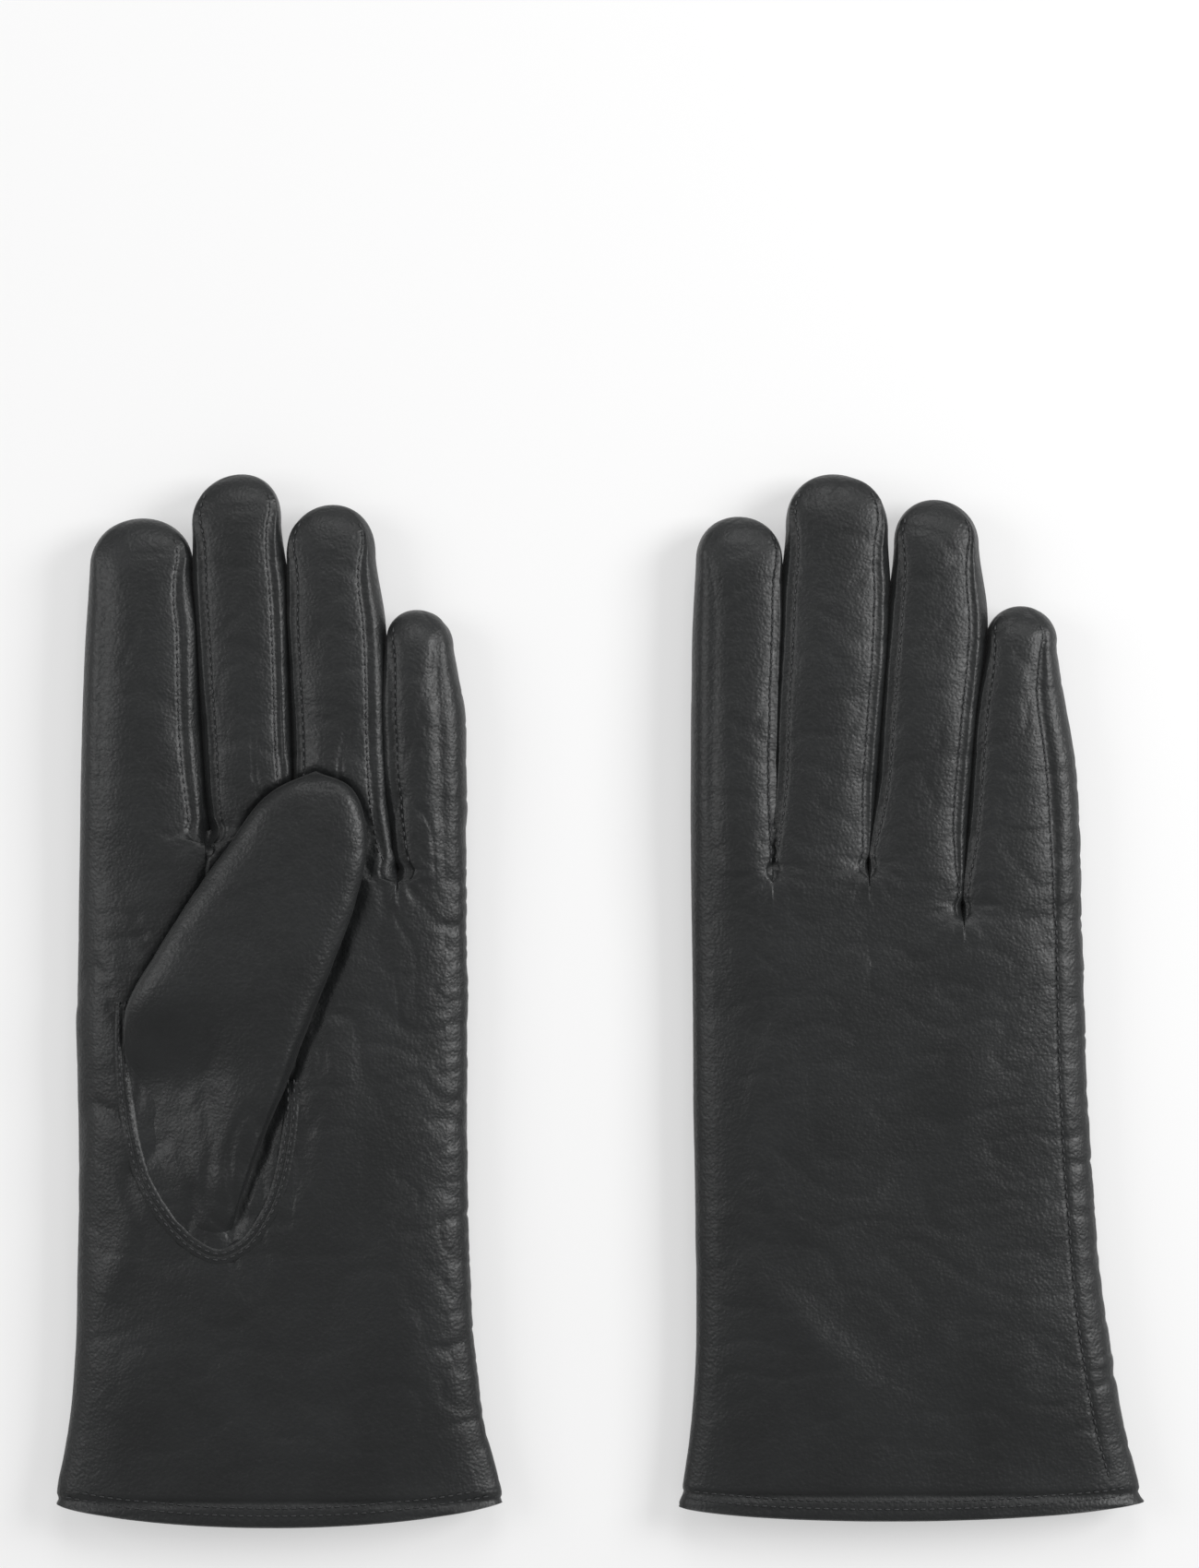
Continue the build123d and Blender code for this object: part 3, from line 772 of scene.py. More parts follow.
@dataclass
class HandSkin:
    """Leather of one glove's hand and fingers.

    Attributes:
        plan: The glove's flat outline.
        height: Half of the hand's thickness.
        row_step: Distance between rows of points.
        columns: Points across the broad strip of a finger.
        groove: Depth of a seam.
        lip: Distance from a seam to where the leather is back at full height.
        crotch_end: Distance from a crotch down to where its two seams meet.
        press: How far each finger swells against its neighbour.
        press_start: From a crotch to where that swelling begins and is full.
        press_end: Height over which it fades below the tip's shoulder.
        tip_round: Power of a fingertip's outline; a higher one is squarer.
        tip_lean: Power of the way a fingertip leans to its highest point.
        tip_rows: Rows of points round a fingertip.
        hem_marks: Heights of the rows of points near the hem.
        body_start: Height of the first even row above them.
        row_gap: Least distance of an even row from a crotch's own row.
        side_steps: Columns of points from a finger's side to its seam.
        fold_inset: Inset of the line that stands for a seam on a folded side.
        widest_inset: The most that a seam lies from its side, as a share of the finger's width.
        fold_close: How a folded side's inset closes at the tip: by what share, from and to how far below it.
        seam_close: The same for a fourchette's seam.
        seam_open: How a fourchette widens: from how far below its crotch, to how far above it.
        seam_meet: Share of the inset that is left where two seams meet below a crotch.
        side_fade: How the side seam's groove starts above the hem and ends below the tip.
        seam_fade: How a fourchette's groove starts at its lower end and ends below the tip.
        squareness: Power of the hand's section on its upper side and its resting side.
        cuff_height: Share of the height left at the hem, and how far up it is full again.
        finger_height: Height of a finger as a share of the hand's.
        finger_thins: How much thinner a finger gets, from and to which height.
        cap_start: From the shoulder down to where a fingertip starts to round off.
        cap_round: Power of that rounding.
        hand_ends: From a crotch down and up to where the hand's section gives way to the fingers'.
        hand_fades: The same on the hand's own sides.
        crown: Share of a finger's height at its seams, on its upper side and its resting side.
        crown_round, side_round: Power of a finger's section between its seams and outside them.
        rest_extra: How much farther the resting side reaches down.
        imprint: Depth that the folded thumb presses into the palm.
        recess: Height of the palm over a thumb that is tucked under it.
        hem_groove: Depth, height and width of the hollow above the hem's stitching.
        hem_swell: Height, middle and width of the hem's own roundness.
        stitch_groove: Depth and width of the hollow under each row of hem stitching.
        pleat: Depth of the pleats round a crotch, their number in half a turn, their middle and their width.
        little_side: Width of the puckered strip, and the heights where it fades out.
        index_side: By what share folds are calmer on the folded side, and the width of that strip.
        thumb_side: Width of the gathered strip beside the thumb.
        under_share: Share of the folds on the resting side.
        broad, fine: Folds of the hand and grain of all its leather.
        pucker, gather: Folds of the little-finger side, and beside the thumb.
    """

    plan: GlovePlan
    height: float = 7.6
    row_step: float = 0.95
    columns: int = 20
    groove: float = 0.75
    lip: float = 0.8
    crotch_end: float = 3.6
    press: float = 0.95
    press_start: tuple[float, float] = (-0.5, 2.5)
    press_end: float = 16.0
    tip_round: float = 2.3
    tip_lean: float = 1.5
    tip_rows: int = 18
    hem_marks: tuple[float, ...] = (0.0, 0.35, 1.0, 1.8, 2.6, 3.5, 4.4, 5.0, 5.6, 6.2, 7.0, 8.2, 9.6)
    body_start: float = 11.0
    row_gap: float = 0.35
    side_steps: int = 6
    fold_inset: float = 5.0
    widest_inset: float = 0.30
    fold_close: Triple = (0.55, 26.0, 4.0)
    seam_close: Triple = (0.7, 24.0, 3.0)
    seam_open: tuple[float, float] = (2.0, 22.0)
    seam_meet: float = 0.12
    side_fade: tuple[float, float, float, float] = (7.0, 16.0, 12.0, 6.0)
    seam_fade: tuple[float, float, float, float] = (-0.5, 1.0, 9.0, 3.0)
    squareness: tuple[float, float] = (5.0, 7.0)
    cuff_height: tuple[float, float] = (0.80, 40.0)
    finger_height: float = 0.97
    finger_thins: Triple = (0.12, 200.0, 240.0)
    cap_start: float = 5.0
    cap_round: float = 2.8
    hand_ends: tuple[float, float] = (7.0, 1.0)
    hand_fades: tuple[float, float] = (40.0, 30.0)
    crown: tuple[float, float] = (0.80, 0.90)
    crown_round: float = 2.6
    side_round: float = 2.2
    rest_extra: float = 0.4
    imprint: float = 1.2
    recess: float = 7.0
    hem_groove: Triple = (0.75, 5.7, 0.75)
    hem_swell: Triple = (0.30, 2.2, 2.2)
    stitch_groove: tuple[float, float] = (0.26, 0.4)
    pleat: tuple[float, float, float, float] = (0.20, 13.0, 6.0, 3.2)
    little_side: Triple = (9.0, 150.0, 190.0)
    index_side: tuple[float, float] = (0.8, 6.0)
    thumb_side: float = 14.0
    under_share: float = 0.35
    broad: tuple[Wave, ...] = (
        Wave((0.026, 0.017, 0.03), 0, 1.3),
        Wave((0.05, 0.06, 0.05), 5, 0.40),
        Wave((0.07, 0.11, 0.05), 17, 0.20, sharp=True),
    )
    fine: tuple[Wave, ...] = (Wave((0.16, 0.26, 0.1), 11, 0.09),)
    pucker: tuple[Wave, ...] = (
        Wave((0.11, 0.27, 0.05), 23, 0.15),
        Wave((0.12, 0.16, 0.05), 29, 0.32, sharp=True),
    )
    gather: tuple[Wave, ...] = (
        Wave((0.13, 0.09, 0.05), 37, 0.55),
        Wave((0.13, 0.05, 0.05), 41, 0.7, sharp=True),
    )
    skin: Skin = field(init=False)
    flat: np.ndarray = field(init=False)
    normal: np.ndarray = field(init=False)
    grids: dict[tuple[int, bool], np.ndarray] = field(init=False)

    def hand_sides(self, y: np.ndarray) -> tuple[np.ndarray, np.ndarray]:
        """Left and right outline at each height."""
        return along(self.plan.left, y), along(self.plan.right, y)

    def finger_sides(self, number: int, y: np.ndarray) -> tuple[np.ndarray, np.ndarray]:
        """Left and right side of a finger's column of leather, from the hem to its tip.

        Args:
            number: The finger, from the index.
            y: Heights above the hem.

        Returns:
            The two sides' x.
        """
        finger = self.plan.fingers[number]
        outer_left, outer_right = self.hand_sides(y)
        sides = []
        for edge, curve, outer, crotch in (
            (0, finger.left, outer_left, number - 1),
            (1, finger.right, outer_right, number),
        ):
            if not curve:
                sides.append(outer)
                continue
            x, height = self.plan.crotches[crotch]
            low, high = self.hand_sides(np.array([height]))
            share = (x - low[0]) / (high[0] - low[0])
            below = outer_left + share * (outer_right - outer_left)
            start, full = self.press_start
            top = curve[-1][0]
            press = ramp(height + start, height + full, y) * (1 - ramp(top - self.press_end, top, y))
            touching = along(curve, y) + (2 * edge - 1) * self.press * press
            sides.append(np.where(y < height, below, touching))
        shoulder = self.shoulder(number)
        left, right = sides
        if np.any(y > shoulder):
            at = np.array([shoulder])
            a, b = (side[0] for side in self.finger_sides(number, at))
            q = np.clip((y - shoulder) / (finger.tip[1] - shoulder), 0.0, 1.0)
            half = (b - a) / 2 * (1 - q**self.tip_round) ** 0.5
            centre = (a + b) / 2 + (finger.tip[0] - (a + b) / 2) * q**self.tip_lean
            left = np.where(y > shoulder, centre - half, left)
            right = np.where(y > shoulder, centre + half, right)
        return left, right

    def shoulder(self, number: int) -> float:
        """Height where a finger starts to close towards its tip."""
        finger = self.plan.fingers[number]
        curve = finger.right or finger.left
        return curve[-1][0]

    def rows(self, number: int) -> np.ndarray:
        """Heights of a finger's rows of points, the same for neighbours up to their crotch.

        Args:
            number: The finger, from the index.

        Returns:
            The heights above the hem, in rising order.
        """
        shared = max(height for _, height in self.plan.crotches) + 4
        body = np.arange(self.body_start, shared + 0.01, self.row_step)
        marks = np.array([height for _, height in self.plan.crotches])
        keep = [row for row in body if np.min(np.abs(marks - row)) > self.row_gap]
        low = np.unique(np.concatenate([self.hem_marks, keep, marks]))
        shoulder = self.shoulder(number)
        middle = np.arange(low[-1] + self.row_step, shoulder - 0.5, self.row_step)
        tip = self.plan.fingers[number].tip[1]
        cap = shoulder + (tip - shoulder) * np.sin(np.linspace(0, math.pi / 2, self.tip_rows))
        return np.concatenate([low, middle, cap])

    def seam_insets(self, number: int, y: np.ndarray) -> tuple[np.ndarray, np.ndarray]:
        """Distance from each side of a finger to its seam, narrowing towards crotch and tip.

        Args:
            number: The finger, from the index.
            y: Heights above the hem.

        Returns:
            The insets on the left and on the right.
        """
        finger = self.plan.fingers[number]
        left, right = self.finger_sides(number, y)
        widest = (right - left) * self.widest_inset
        tip = finger.tip[1]
        insets = []
        for edge, crotch in ((0, number - 1), (1, number)):
            inset = finger.seams[edge]
            if self.is_outer(crotch):
                share, start, end = self.fold_close
                closing = 1 - share * ramp(tip - start, tip - end, y)
                insets.append(np.minimum((inset or self.fold_inset) * closing, widest))
                continue
            base = self.plan.crotches[crotch][1]
            share = self.plan.crotch_share
            below, above = self.seam_open
            closing = share + (1 - share) * ramp(base - below, base + above, y)
            share, start, end = self.seam_close
            closing = closing * (1 - share * ramp(tip - start, tip - end, y))
            down = np.clip((base + 0.5 - y) / self.crotch_end, 0.0, 1.0)
            closing = closing * np.maximum(np.sqrt(1 - down**4), self.seam_meet)
            insets.append(np.minimum(inset * closing, widest))
        return insets[0], insets[1]

    def is_outer(self, crotch: int) -> bool:
        """Whether a finger's side with this crotch's number is the hand's own side, with no crotch."""
        return not 0 <= crotch < len(self.plan.crotches)

    def grid(self, number: int, upper: bool) -> tuple[np.ndarray, np.ndarray]:
        """Points of one side of one finger's column of leather.

        Args:
            number: The finger, from the index.
            upper: Whether it is the side that faces up.

        Returns:
            The points as rows by columns by 3, and each point's seam depth.
        """
        y = self.rows(number)
        left, right = self.finger_sides(number, y)
        width = right - left
        a, b = self.seam_insets(number, y)
        side = 1 - np.cos(np.linspace(0, math.pi / 2, self.side_steps))[:-1]
        inner = np.linspace(0, 1, self.columns)[1:-1]
        lip = np.minimum(self.lip, np.minimum(a, b) * 0.45)
        columns = [share * (a - lip) for share in side]
        columns += [a - lip, a, a + lip]
        columns += [a + lip + share * (width - a - b - 2 * lip) for share in inner]
        columns += [width - b - lip, width - b, width - b + lip]
        columns += [width - share * (b - lip) for share in side[::-1]]
        offset = np.stack(columns, axis=1)
        mark = np.zeros_like(offset)
        mark[:, len(side) + 1] = 1
        mark[:, -len(side) - 2] = 2
        x = left[:, None] + offset
        yy = np.tile(y[:, None], (1, x.shape[1]))
        u = np.where(width[:, None] > 1e-6, offset / np.maximum(width[:, None], 1e-6), 0.5)
        z = self.profile(number, x, yy, u, upper)
        lift = self.plan.hem_rise * (x / np.maximum(np.abs(along(self.plan.right, yy)), 1.0)) ** 2
        yy = yy + lift * (1 - ramp(0, 75, yy))
        points = np.stack([x, yy, MIDDLE + z], axis=-1)
        return points, self.seam_depth(number, mark, yy, upper)

    def seam_depth(self, number: int, mark: np.ndarray, y: np.ndarray, upper: bool) -> np.ndarray:
        """Depth of the seam at each marked column, fading out where the seam ends.

        Args:
            number: The finger, from the index.
            mark: 1 on the left seam, 2 on the right one and 0 elsewhere.
            y: Height of each point above the hem.
            upper: Whether it is the side that faces up.

        Returns:
            The depth at each point.
        """
        finger = self.plan.fingers[number]
        tip = finger.tip[1]
        depth = np.zeros_like(y)
        on_back = upper != (self.plan.face is Face.PALM_UP)
        for edge, crotch in ((0, number - 1), (1, number)):
            here = mark == edge + 1
            if self.is_outer(crotch):
                strength = 1.0 if (edge == 1 and on_back) else 0.0
                low = 0.0
                start, full, thin, end = self.side_fade
            else:
                strength = 1.0
                low = self.plan.crotches[crotch][1] - self.crotch_end
                start, full, thin, end = self.seam_fade
            fade = ramp(low + start, low + full, y) * (1 - ramp(tip - thin, tip - end, y))
            depth = np.where(here, strength * fade * self.groove, depth)
        return depth

    def profile(
        self, number: int, x: np.ndarray, y: np.ndarray, u: np.ndarray, upper: bool
    ) -> np.ndarray:
        """Height of the leather above or below the middle, before seams and wrinkles.

        Args:
            number: The finger, from the index.
            x: Place of each point across the glove.
            y: Height of each point above the hem.
            u: Share of the finger's width at each point.
            upper: Whether it is the side that faces up.

        Returns:
            The height at each point, negative on the resting side.
        """
        finger = self.plan.fingers[number]
        low, high = self.hand_sides(y)
        across = np.clip(np.abs(2 * (x - low) / (high - low) - 1), 0, 1)
        power = self.squareness[0 if upper else 1]
        share, full = self.cuff_height
        flatten = share + (1 - share) * ramp(0, full, y)
        hand = self.height * flatten * (1 - across**power) ** 0.5
        tube = self.section(number, y, u, upper)
        start = self.shoulder(number) - self.cap_start
        cap = np.sqrt(1 - np.clip((y - start) / (finger.tip[1] - start), 0, 1) ** self.cap_round)
        share, begin, end = self.finger_thins
        full = self.height * (self.finger_height - share * ramp(begin, end, y)) * tube * cap
        marks = [self.plan.crotches[k][1] for k in (number - 1, number) if not self.is_outer(k)]
        below, above = self.hand_ends
        drops = [ramp(mark - below, mark + above, y) for mark in marks]
        below, above = self.hand_fades
        gradual = ramp(marks[0] - below, marks[0] + above, y)
        if number == 0:
            blend = gradual * (1 - u) + drops[0] * u
        elif number == 3:
            blend = drops[0] * (1 - u) + gradual * u
        else:
            blend = drops[0] * (1 - u) + drops[1] * u
        blend = blend**1.4
        z = hand * (1 - blend) + full * blend
        return z if upper else -z * (1.0 + self.rest_extra / self.height)

    def section(self, number: int, y: np.ndarray, u: np.ndarray, upper: bool) -> np.ndarray:
        """Share of full height across a finger: a low crown between the seams, steep outside them.

        Args:
            number: The finger, from the index.
            y: Height of each point above the hem, by rows.
            u: Share of the finger's width at each point.
            upper: Whether it is the side that faces up.

        Returns:
            The share at each point.
        """
        left, right = self.finger_sides(number, y[:, 0])
        width = np.maximum(right - left, 1e-6)
        a, b = (inset / width for inset in self.seam_insets(number, y[:, 0]))
        a, b = a[:, None], b[:, None]
        shoulder = self.crown[0 if upper else 1]
        middle = np.clip((u - a) / np.maximum(1 - a - b, 1e-6), 0, 1)
        crown = shoulder + (1 - shoulder) * (1 - np.abs(2 * middle - 1) ** self.crown_round)
        fall_left = np.clip(1 - u / np.maximum(a, 1e-6), 0, 1)
        fall_right = np.clip(1 - (1 - u) / np.maximum(b, 1e-6), 0, 1)
        fall = np.maximum(fall_left, fall_right)
        return np.where(fall > 0, shoulder * np.sqrt(1 - fall**self.side_round), crown)

    def build(self) -> None:
        """Makes the welded surface with seams, folds and wrinkles."""
        points, quads, owner, groove, upper_flags = [], [], [], [], []
        grids = {}
        count = 0
        for number, finger in enumerate(self.plan.fingers):
            for upper in (True, False):
                grid, depth = self.grid(number, upper)
                rows, cols = grid.shape[:2]
                index = np.arange(rows * cols).reshape(rows, cols) + count
                grids[number, upper] = index
                quads.append(grid_quads(index, upper))
                mids = (self.rows(number)[:-1] + self.rows(number)[1:]) / 2
                part = np.where(mids < finger.split, 0, number + 1)
                owner.append(np.repeat(part, cols - 1))
                points.append(grid.reshape(-1, 3))
                groove.append(depth.ravel())
                upper_flags.append(np.full(rows * cols, 1.0 if upper else 0.0))
                count += rows * cols
        self.skin = Skin(
            np.concatenate(points),
            np.concatenate(quads),
            np.concatenate(owner),
            np.concatenate(groove),
            np.concatenate(upper_flags),
        ).welded()
        self.grids = {key: self.skin.number[index] for key, index in grids.items()}
        self.flat = self.skin.points.copy()
        normal = self.skin.normals()
        shift = self.relief(self.flat, self.skin.upper) - self.skin.groove
        self.skin.points = self.flat + normal * shift[:, None]
        if self.plan.face is Face.PALM_UP:
            x, y = self.flat[:, 0], self.flat[:, 1]
            sunk = ramp(1.6, -1.2, self.thumb_distance(self.flat[:, :2])) * ramp(82, 100, y)
            edge = along(tuple((high, across) for across, high in self.plan.thumb_right[:-1]), y)
            beside = bell(x - edge - 0.5, 1.1) * ramp(68, 76, y) * (1 - ramp(172, 177, y))
            sunk = np.maximum(sunk, beside)
            self.skin.points[:, 2] -= self.imprint * sunk * (self.skin.upper > 0.5)
        else:
            cover = ramp(4.5, 0.8, self.thumb_distance(self.flat[:, :2]))
            under = self.skin.upper < 0.5
            z = self.skin.points[:, 2]
            raised = z + cover * np.maximum(self.recess - z, 0)
            self.skin.points[:, 2] = np.where(under, raised, z + 0.3 * cover)
        self.skin.points[:, 2] = np.maximum(self.skin.points[:, 2], FLOOR_GAP)
        self.normal = self.skin.normals()

    def thumb_distance(self, place: np.ndarray) -> np.ndarray:
        """Distance outside the thumb's flat outline, 0 or less inside it.

        Args:
            place: Rows of x and y.

        Returns:
            The distance at each place.
        """
        share = np.linspace(0, 1, 50)
        loop = np.concatenate([path(self.plan.thumb_left, share), path(self.plan.thumb_right, share)[::-1][1:]])
        start, end = loop[:-1], loop[1:]
        best = np.full(len(place), 1e9)
        inside = np.zeros(len(place), bool)
        for a, b in zip(start, end):
            d = b - a
            t = np.clip(((place - a) @ d) / max(float(d @ d), 1e-9), 0, 1)
            gap = np.linalg.norm(place - a - t[:, None] * d, axis=1)
            best = np.minimum(best, gap)
            across = (a[1] > place[:, 1]) != (b[1] > place[:, 1])
            rise = b[1] - a[1] if abs(b[1] - a[1]) > 1e-9 else 1e-9
            hit = place[:, 0] < a[0] + (place[:, 1] - a[1]) * d[0] / rise
            inside ^= across & hit
        return np.where(inside, -best, best)

    def relief(self, p: np.ndarray, upper: np.ndarray) -> np.ndarray:
        """Soft folds, puckers and creases in the leather, in millimetres outwards.

        Args:
            p: Rows of x, y and z on the plain surface.
            upper: 1 on the upper side and 0 on the resting side.

        Returns:
            The shift at each point.
        """
        x, y = p[:, 0], p[:, 1]
        seed = self.plan.seed
        left, right = self.hand_sides(y)
        width, low, high = self.little_side
        little_side = bell(right - x, width) * (1 - ramp(low, high, y))
        share, width = self.index_side
        index_side = 1 - share * bell(x - left, width)
        fade = ramp(2, 22, y)
        depth, middle, width = self.hem_groove
        hem = -depth * bell(y - middle, width)
        height, middle, width = self.hem_swell
        hem += height * bell(y - middle, width)
        depth, width = self.stitch_groove
        for row in HEM_ROWS:
            hem -= depth * bell(y - row, width)
        pleats = np.zeros(len(p))
        depth, number, middle, width = self.pleat
        for cx, cy in self.plan.crotches:
            angle = np.arctan2(x - cx, cy - y)
            ring = bell(np.hypot(x - cx, y - cy) - middle, width) * (y < cy + 1)
            pleats += np.sin(angle * number + seed) * ring * depth
        total = (folds(self.broad, p, seed) * fade + folds(self.fine, p, seed)) * index_side
        total += folds(self.pucker, p, seed) * little_side * fade
        total += sum(swell.over(x, y) for swell in self.plan.swells) * fade + hem + pleats
        if self.plan.face is Face.PALM_UP:
            near = bell(np.maximum(self.thumb_distance(p[:, :2]), 0.0), self.thumb_side)
            total += folds(self.gather, p, seed) * near
        total = total * np.where(upper > 0.5, 1.0, self.under_share)
        inner = ramp(3.0, 6.0, np.minimum(x - left, right - x)) * ramp(3.2, 1.2, np.abs(p[:, 2] - MIDDLE))
        return total * (1 - inner) + 0.25 * inner

    def dress(self, origin: Vector, leather: bpy.types.Material) -> dict[str, bpy.types.Object]:
        """Makes one mesh for the hand and one for each finger.

        Args:
            origin: The glove's origin in the shared frame, in metres.
            leather: The finish.

        Returns:
            The pieces by name: hand, index, middle, ring and little.
        """
        pieces = {}
        names = ["hand"] + [finger.name for finger in self.plan.fingers]
        for number, name in enumerate(names):
            used, faces = loose_faces(self.skin.quads[self.skin.owner == number])
            pieces[name] = make_mesh(
                f"{self.plan.side}_{name}_leather_skin",
                self.skin.points[used] * MM + np.array(origin),
                faces,
                self.normal[used],
                self.flat[used] * MM,
                leather,
            )
        return pieces

    def surface_height(self, x: np.ndarray, y: np.ndarray) -> np.ndarray:
        """Height of the finished upper surface under points of the flat outline.

        Args:
            x: Places across the glove.
            y: Heights above the hem.

        Returns:
            The height at each place.
        """
        top = self.skin.upper > 0.5
        cloud = self.skin.points[top]
        result = np.empty(len(x))
        for k, (px, py) in enumerate(zip(x, y)):
            gap = (cloud[:, 0] - px) ** 2 + (cloud[:, 1] - py) ** 2
            near = np.argpartition(gap, 4)[:4]
            weight = 1 / (gap[near] + 0.01)
            result[k] = np.sum(cloud[near, 2] * weight) / weight.sum()
        return result


@dataclass
class SeamThread:
    """Every line of stitching that lies on one glove's leather.

    Attributes:
        hand: The leather that the stitches lie on.
        maker: Lays the stitches.
        origin: The glove's origin in the shared frame, in metres.
    """

    hand: HandSkin
    maker: StitchMaker
    origin: Vector

    def on_surface(self, points: np.ndarray, lift: float = 0.05) -> np.ndarray:
        """Places of some of the leather's points, raised a little, in metres."""
        place = self.hand.skin.points[points] + self.hand.normal[points] * lift
        return place * MM + np.array(self.origin)

    def hem(self) -> bpy.types.Object:
        """Two rows of stitching round the cuff."""
        runs = []
        rows = self.hand.rows(0)
        for height in HEM_ROWS:
            row = int(np.argmin(np.abs(rows - height)))
            for upper in (True, False):
                ring = [self.hand.grids[k, upper][row] for k in range(4)]
                round_hem = np.concatenate([ring[0]] + [r[1:] for r in ring[1:]])[4:-4]
                runs.append(self.on_surface(round_hem, lift=0.14))
        return self.maker.sew(f"{self.hand.plan.side}_hem_thread", runs, STITCH_PITCH, HEM_STITCH)

    def column(self, number: int, edge: int, upper: bool, rows: np.ndarray) -> np.ndarray:
        """Places of the stitches' line beside one seam of a finger.

        Args:
            number: The finger, from the index.
            edge: 0 for its left seam and 1 for its right one.
            upper: Whether it is on the upper side.
            rows: Whether each row of points takes part.

        Returns:
            The line's points, in metres.
        """
        grid = self.hand.grids[number, upper]
        seam = self.hand.side_steps + 1  # the column just inside the seam
        seam = seam if edge == 0 else grid.shape[1] - 1 - seam
        return self.on_surface(grid[rows, seam])

    def side_seam(self) -> bpy.types.Object:
        """The line of stitching down the little-finger side of the back, on the hand."""
        plan = self.hand.plan
        upper = plan.face is Face.BACK_UP
        rows = self.hand.rows(3)
        chosen = (rows > 7.5) & (rows < plan.fingers[3].split)
        run = self.column(3, 1, upper, chosen)
        return self.maker.sew(f"{plan.side}_side_seam_thread", [run], *SIDE_STITCH)

    def fingers(self) -> tuple[dict[str, bpy.types.Object], bpy.types.Object]:
        """Stitching beside every fourchette: each finger's own, and the ends that stay on the hand.

        Returns:
            Each finger's thread by the finger's name, and the thread of the ends.
        """
        plan = self.hand.plan
        own = {}
        ends = []
        for number, finger in enumerate(plan.fingers):
            rows = self.hand.rows(number)
            runs = []
            for edge, crotch in ((0, number - 1), (1, number)):
                for upper in (True, False):
                    outer = self.hand.is_outer(crotch)
                    on_back = upper != (plan.face is Face.PALM_UP)
                    if outer and not (number == 3 and edge == 1 and on_back):
                        continue
                    start = finger.split if outer else plan.crotches[crotch][1] + 1.5
                    stop = finger.tip[1] - 5.0
                    above = (rows >= finger.split) & (rows < stop)
                    runs.append(self.column(number, edge, upper, above))
                    below = (rows >= start) & (rows < finger.split)
                    if below.sum() > 1:
                        ends.append(self.column(number, edge, upper, below))
            name = f"{plan.side}_{finger.name}_seam_thread"
            own[finger.name] = self.maker.sew(name, runs, STITCH_PITCH, FINGER_STITCH)
        return own, self.maker.sew(f"{plan.side}_crotch_thread", ends, STITCH_PITCH, FINGER_STITCH)


@dataclass
class Cuff:
    """The turned-in hem of one glove and the lining seen in its mouth.

    Attributes:
        hand: The leather that it closes.
        roll: Steps round the folded edge and up the facing: distance along y and inwards.
        lining: The same for the lining, which starts under the facing.
    """

    hand: HandSkin
    roll: Curve = ((0.0, 0.0), (-0.35, 0.3), (-0.5, 0.8), (-0.35, 1.3), (0.3, 1.65), (2.0, 1.8), (6.0, 1.9),
                   (12.0, 2.0))
    lining: Curve = ((11.4, 1.8), (11.2, 2.2), (11.8, 2.6), (14.0, 2.8), (30.0, 2.9), (58.0, 3.0), (60.0, 7.9))

    def ring(self) -> np.ndarray:
        """Point numbers round the hem, once round."""
        top = [self.hand.grids[k, True][0] for k in range(4)]
        low = [self.hand.grids[k, False][0] for k in range(4)]
        over = np.concatenate([top[0]] + [r[1:] for r in top[1:]])
        under = np.concatenate([low[0]] + [r[1:] for r in low[1:]])
        return np.concatenate([over, under[::-1][1:-1]])

    def tube(self, name: str, steps: Curve, origin: Vector, finish: bpy.types.Material) -> bpy.types.Object:
        """Sweeps steps inwards from the hem all round.

        Args:
            name: The piece's name.
            steps: Distance along y and inwards, step by step.
            origin: The glove's origin in the shared frame, in metres.
            finish: Its material.

        Returns:
            The new piece.
        """
        edge = self.hand.skin.points[self.ring()]
        left, right = edge[:, 0].min(), edge[:, 0].max()
        count = len(edge)
        rings = []
        for rise, inward in steps:
            ring = edge.copy()
            ring[:, 1] += rise
            low, high = self.hand.hand_sides(np.maximum(ring[:, 1], 0.0))
            share = (edge[:, 0] - left) / (right - left)
            ring[:, 0] = low + inward + share * (high - low - 2 * inward)
            up = edge[:, 2] - MIDDLE
            room = np.sign(up) * np.maximum(np.abs(up) - inward, 0.02 * np.abs(up))
            ring[:, 2] = MIDDLE + room
            rings.append(ring)
        rings[0] = edge if steps[0] == (0.0, 0.0) else rings[0]
        points = np.concatenate(rings)
        faces = []
        for level in range(len(steps) - 1):
            for k in range(count):
                n = (k + 1) % count
                a, b = level * count, (level + 1) * count
                faces.append([a + k, b + k, b + n, a + n])
        return make_mesh(name, points * MM + np.array(origin), faces, None, points * MM, finish)


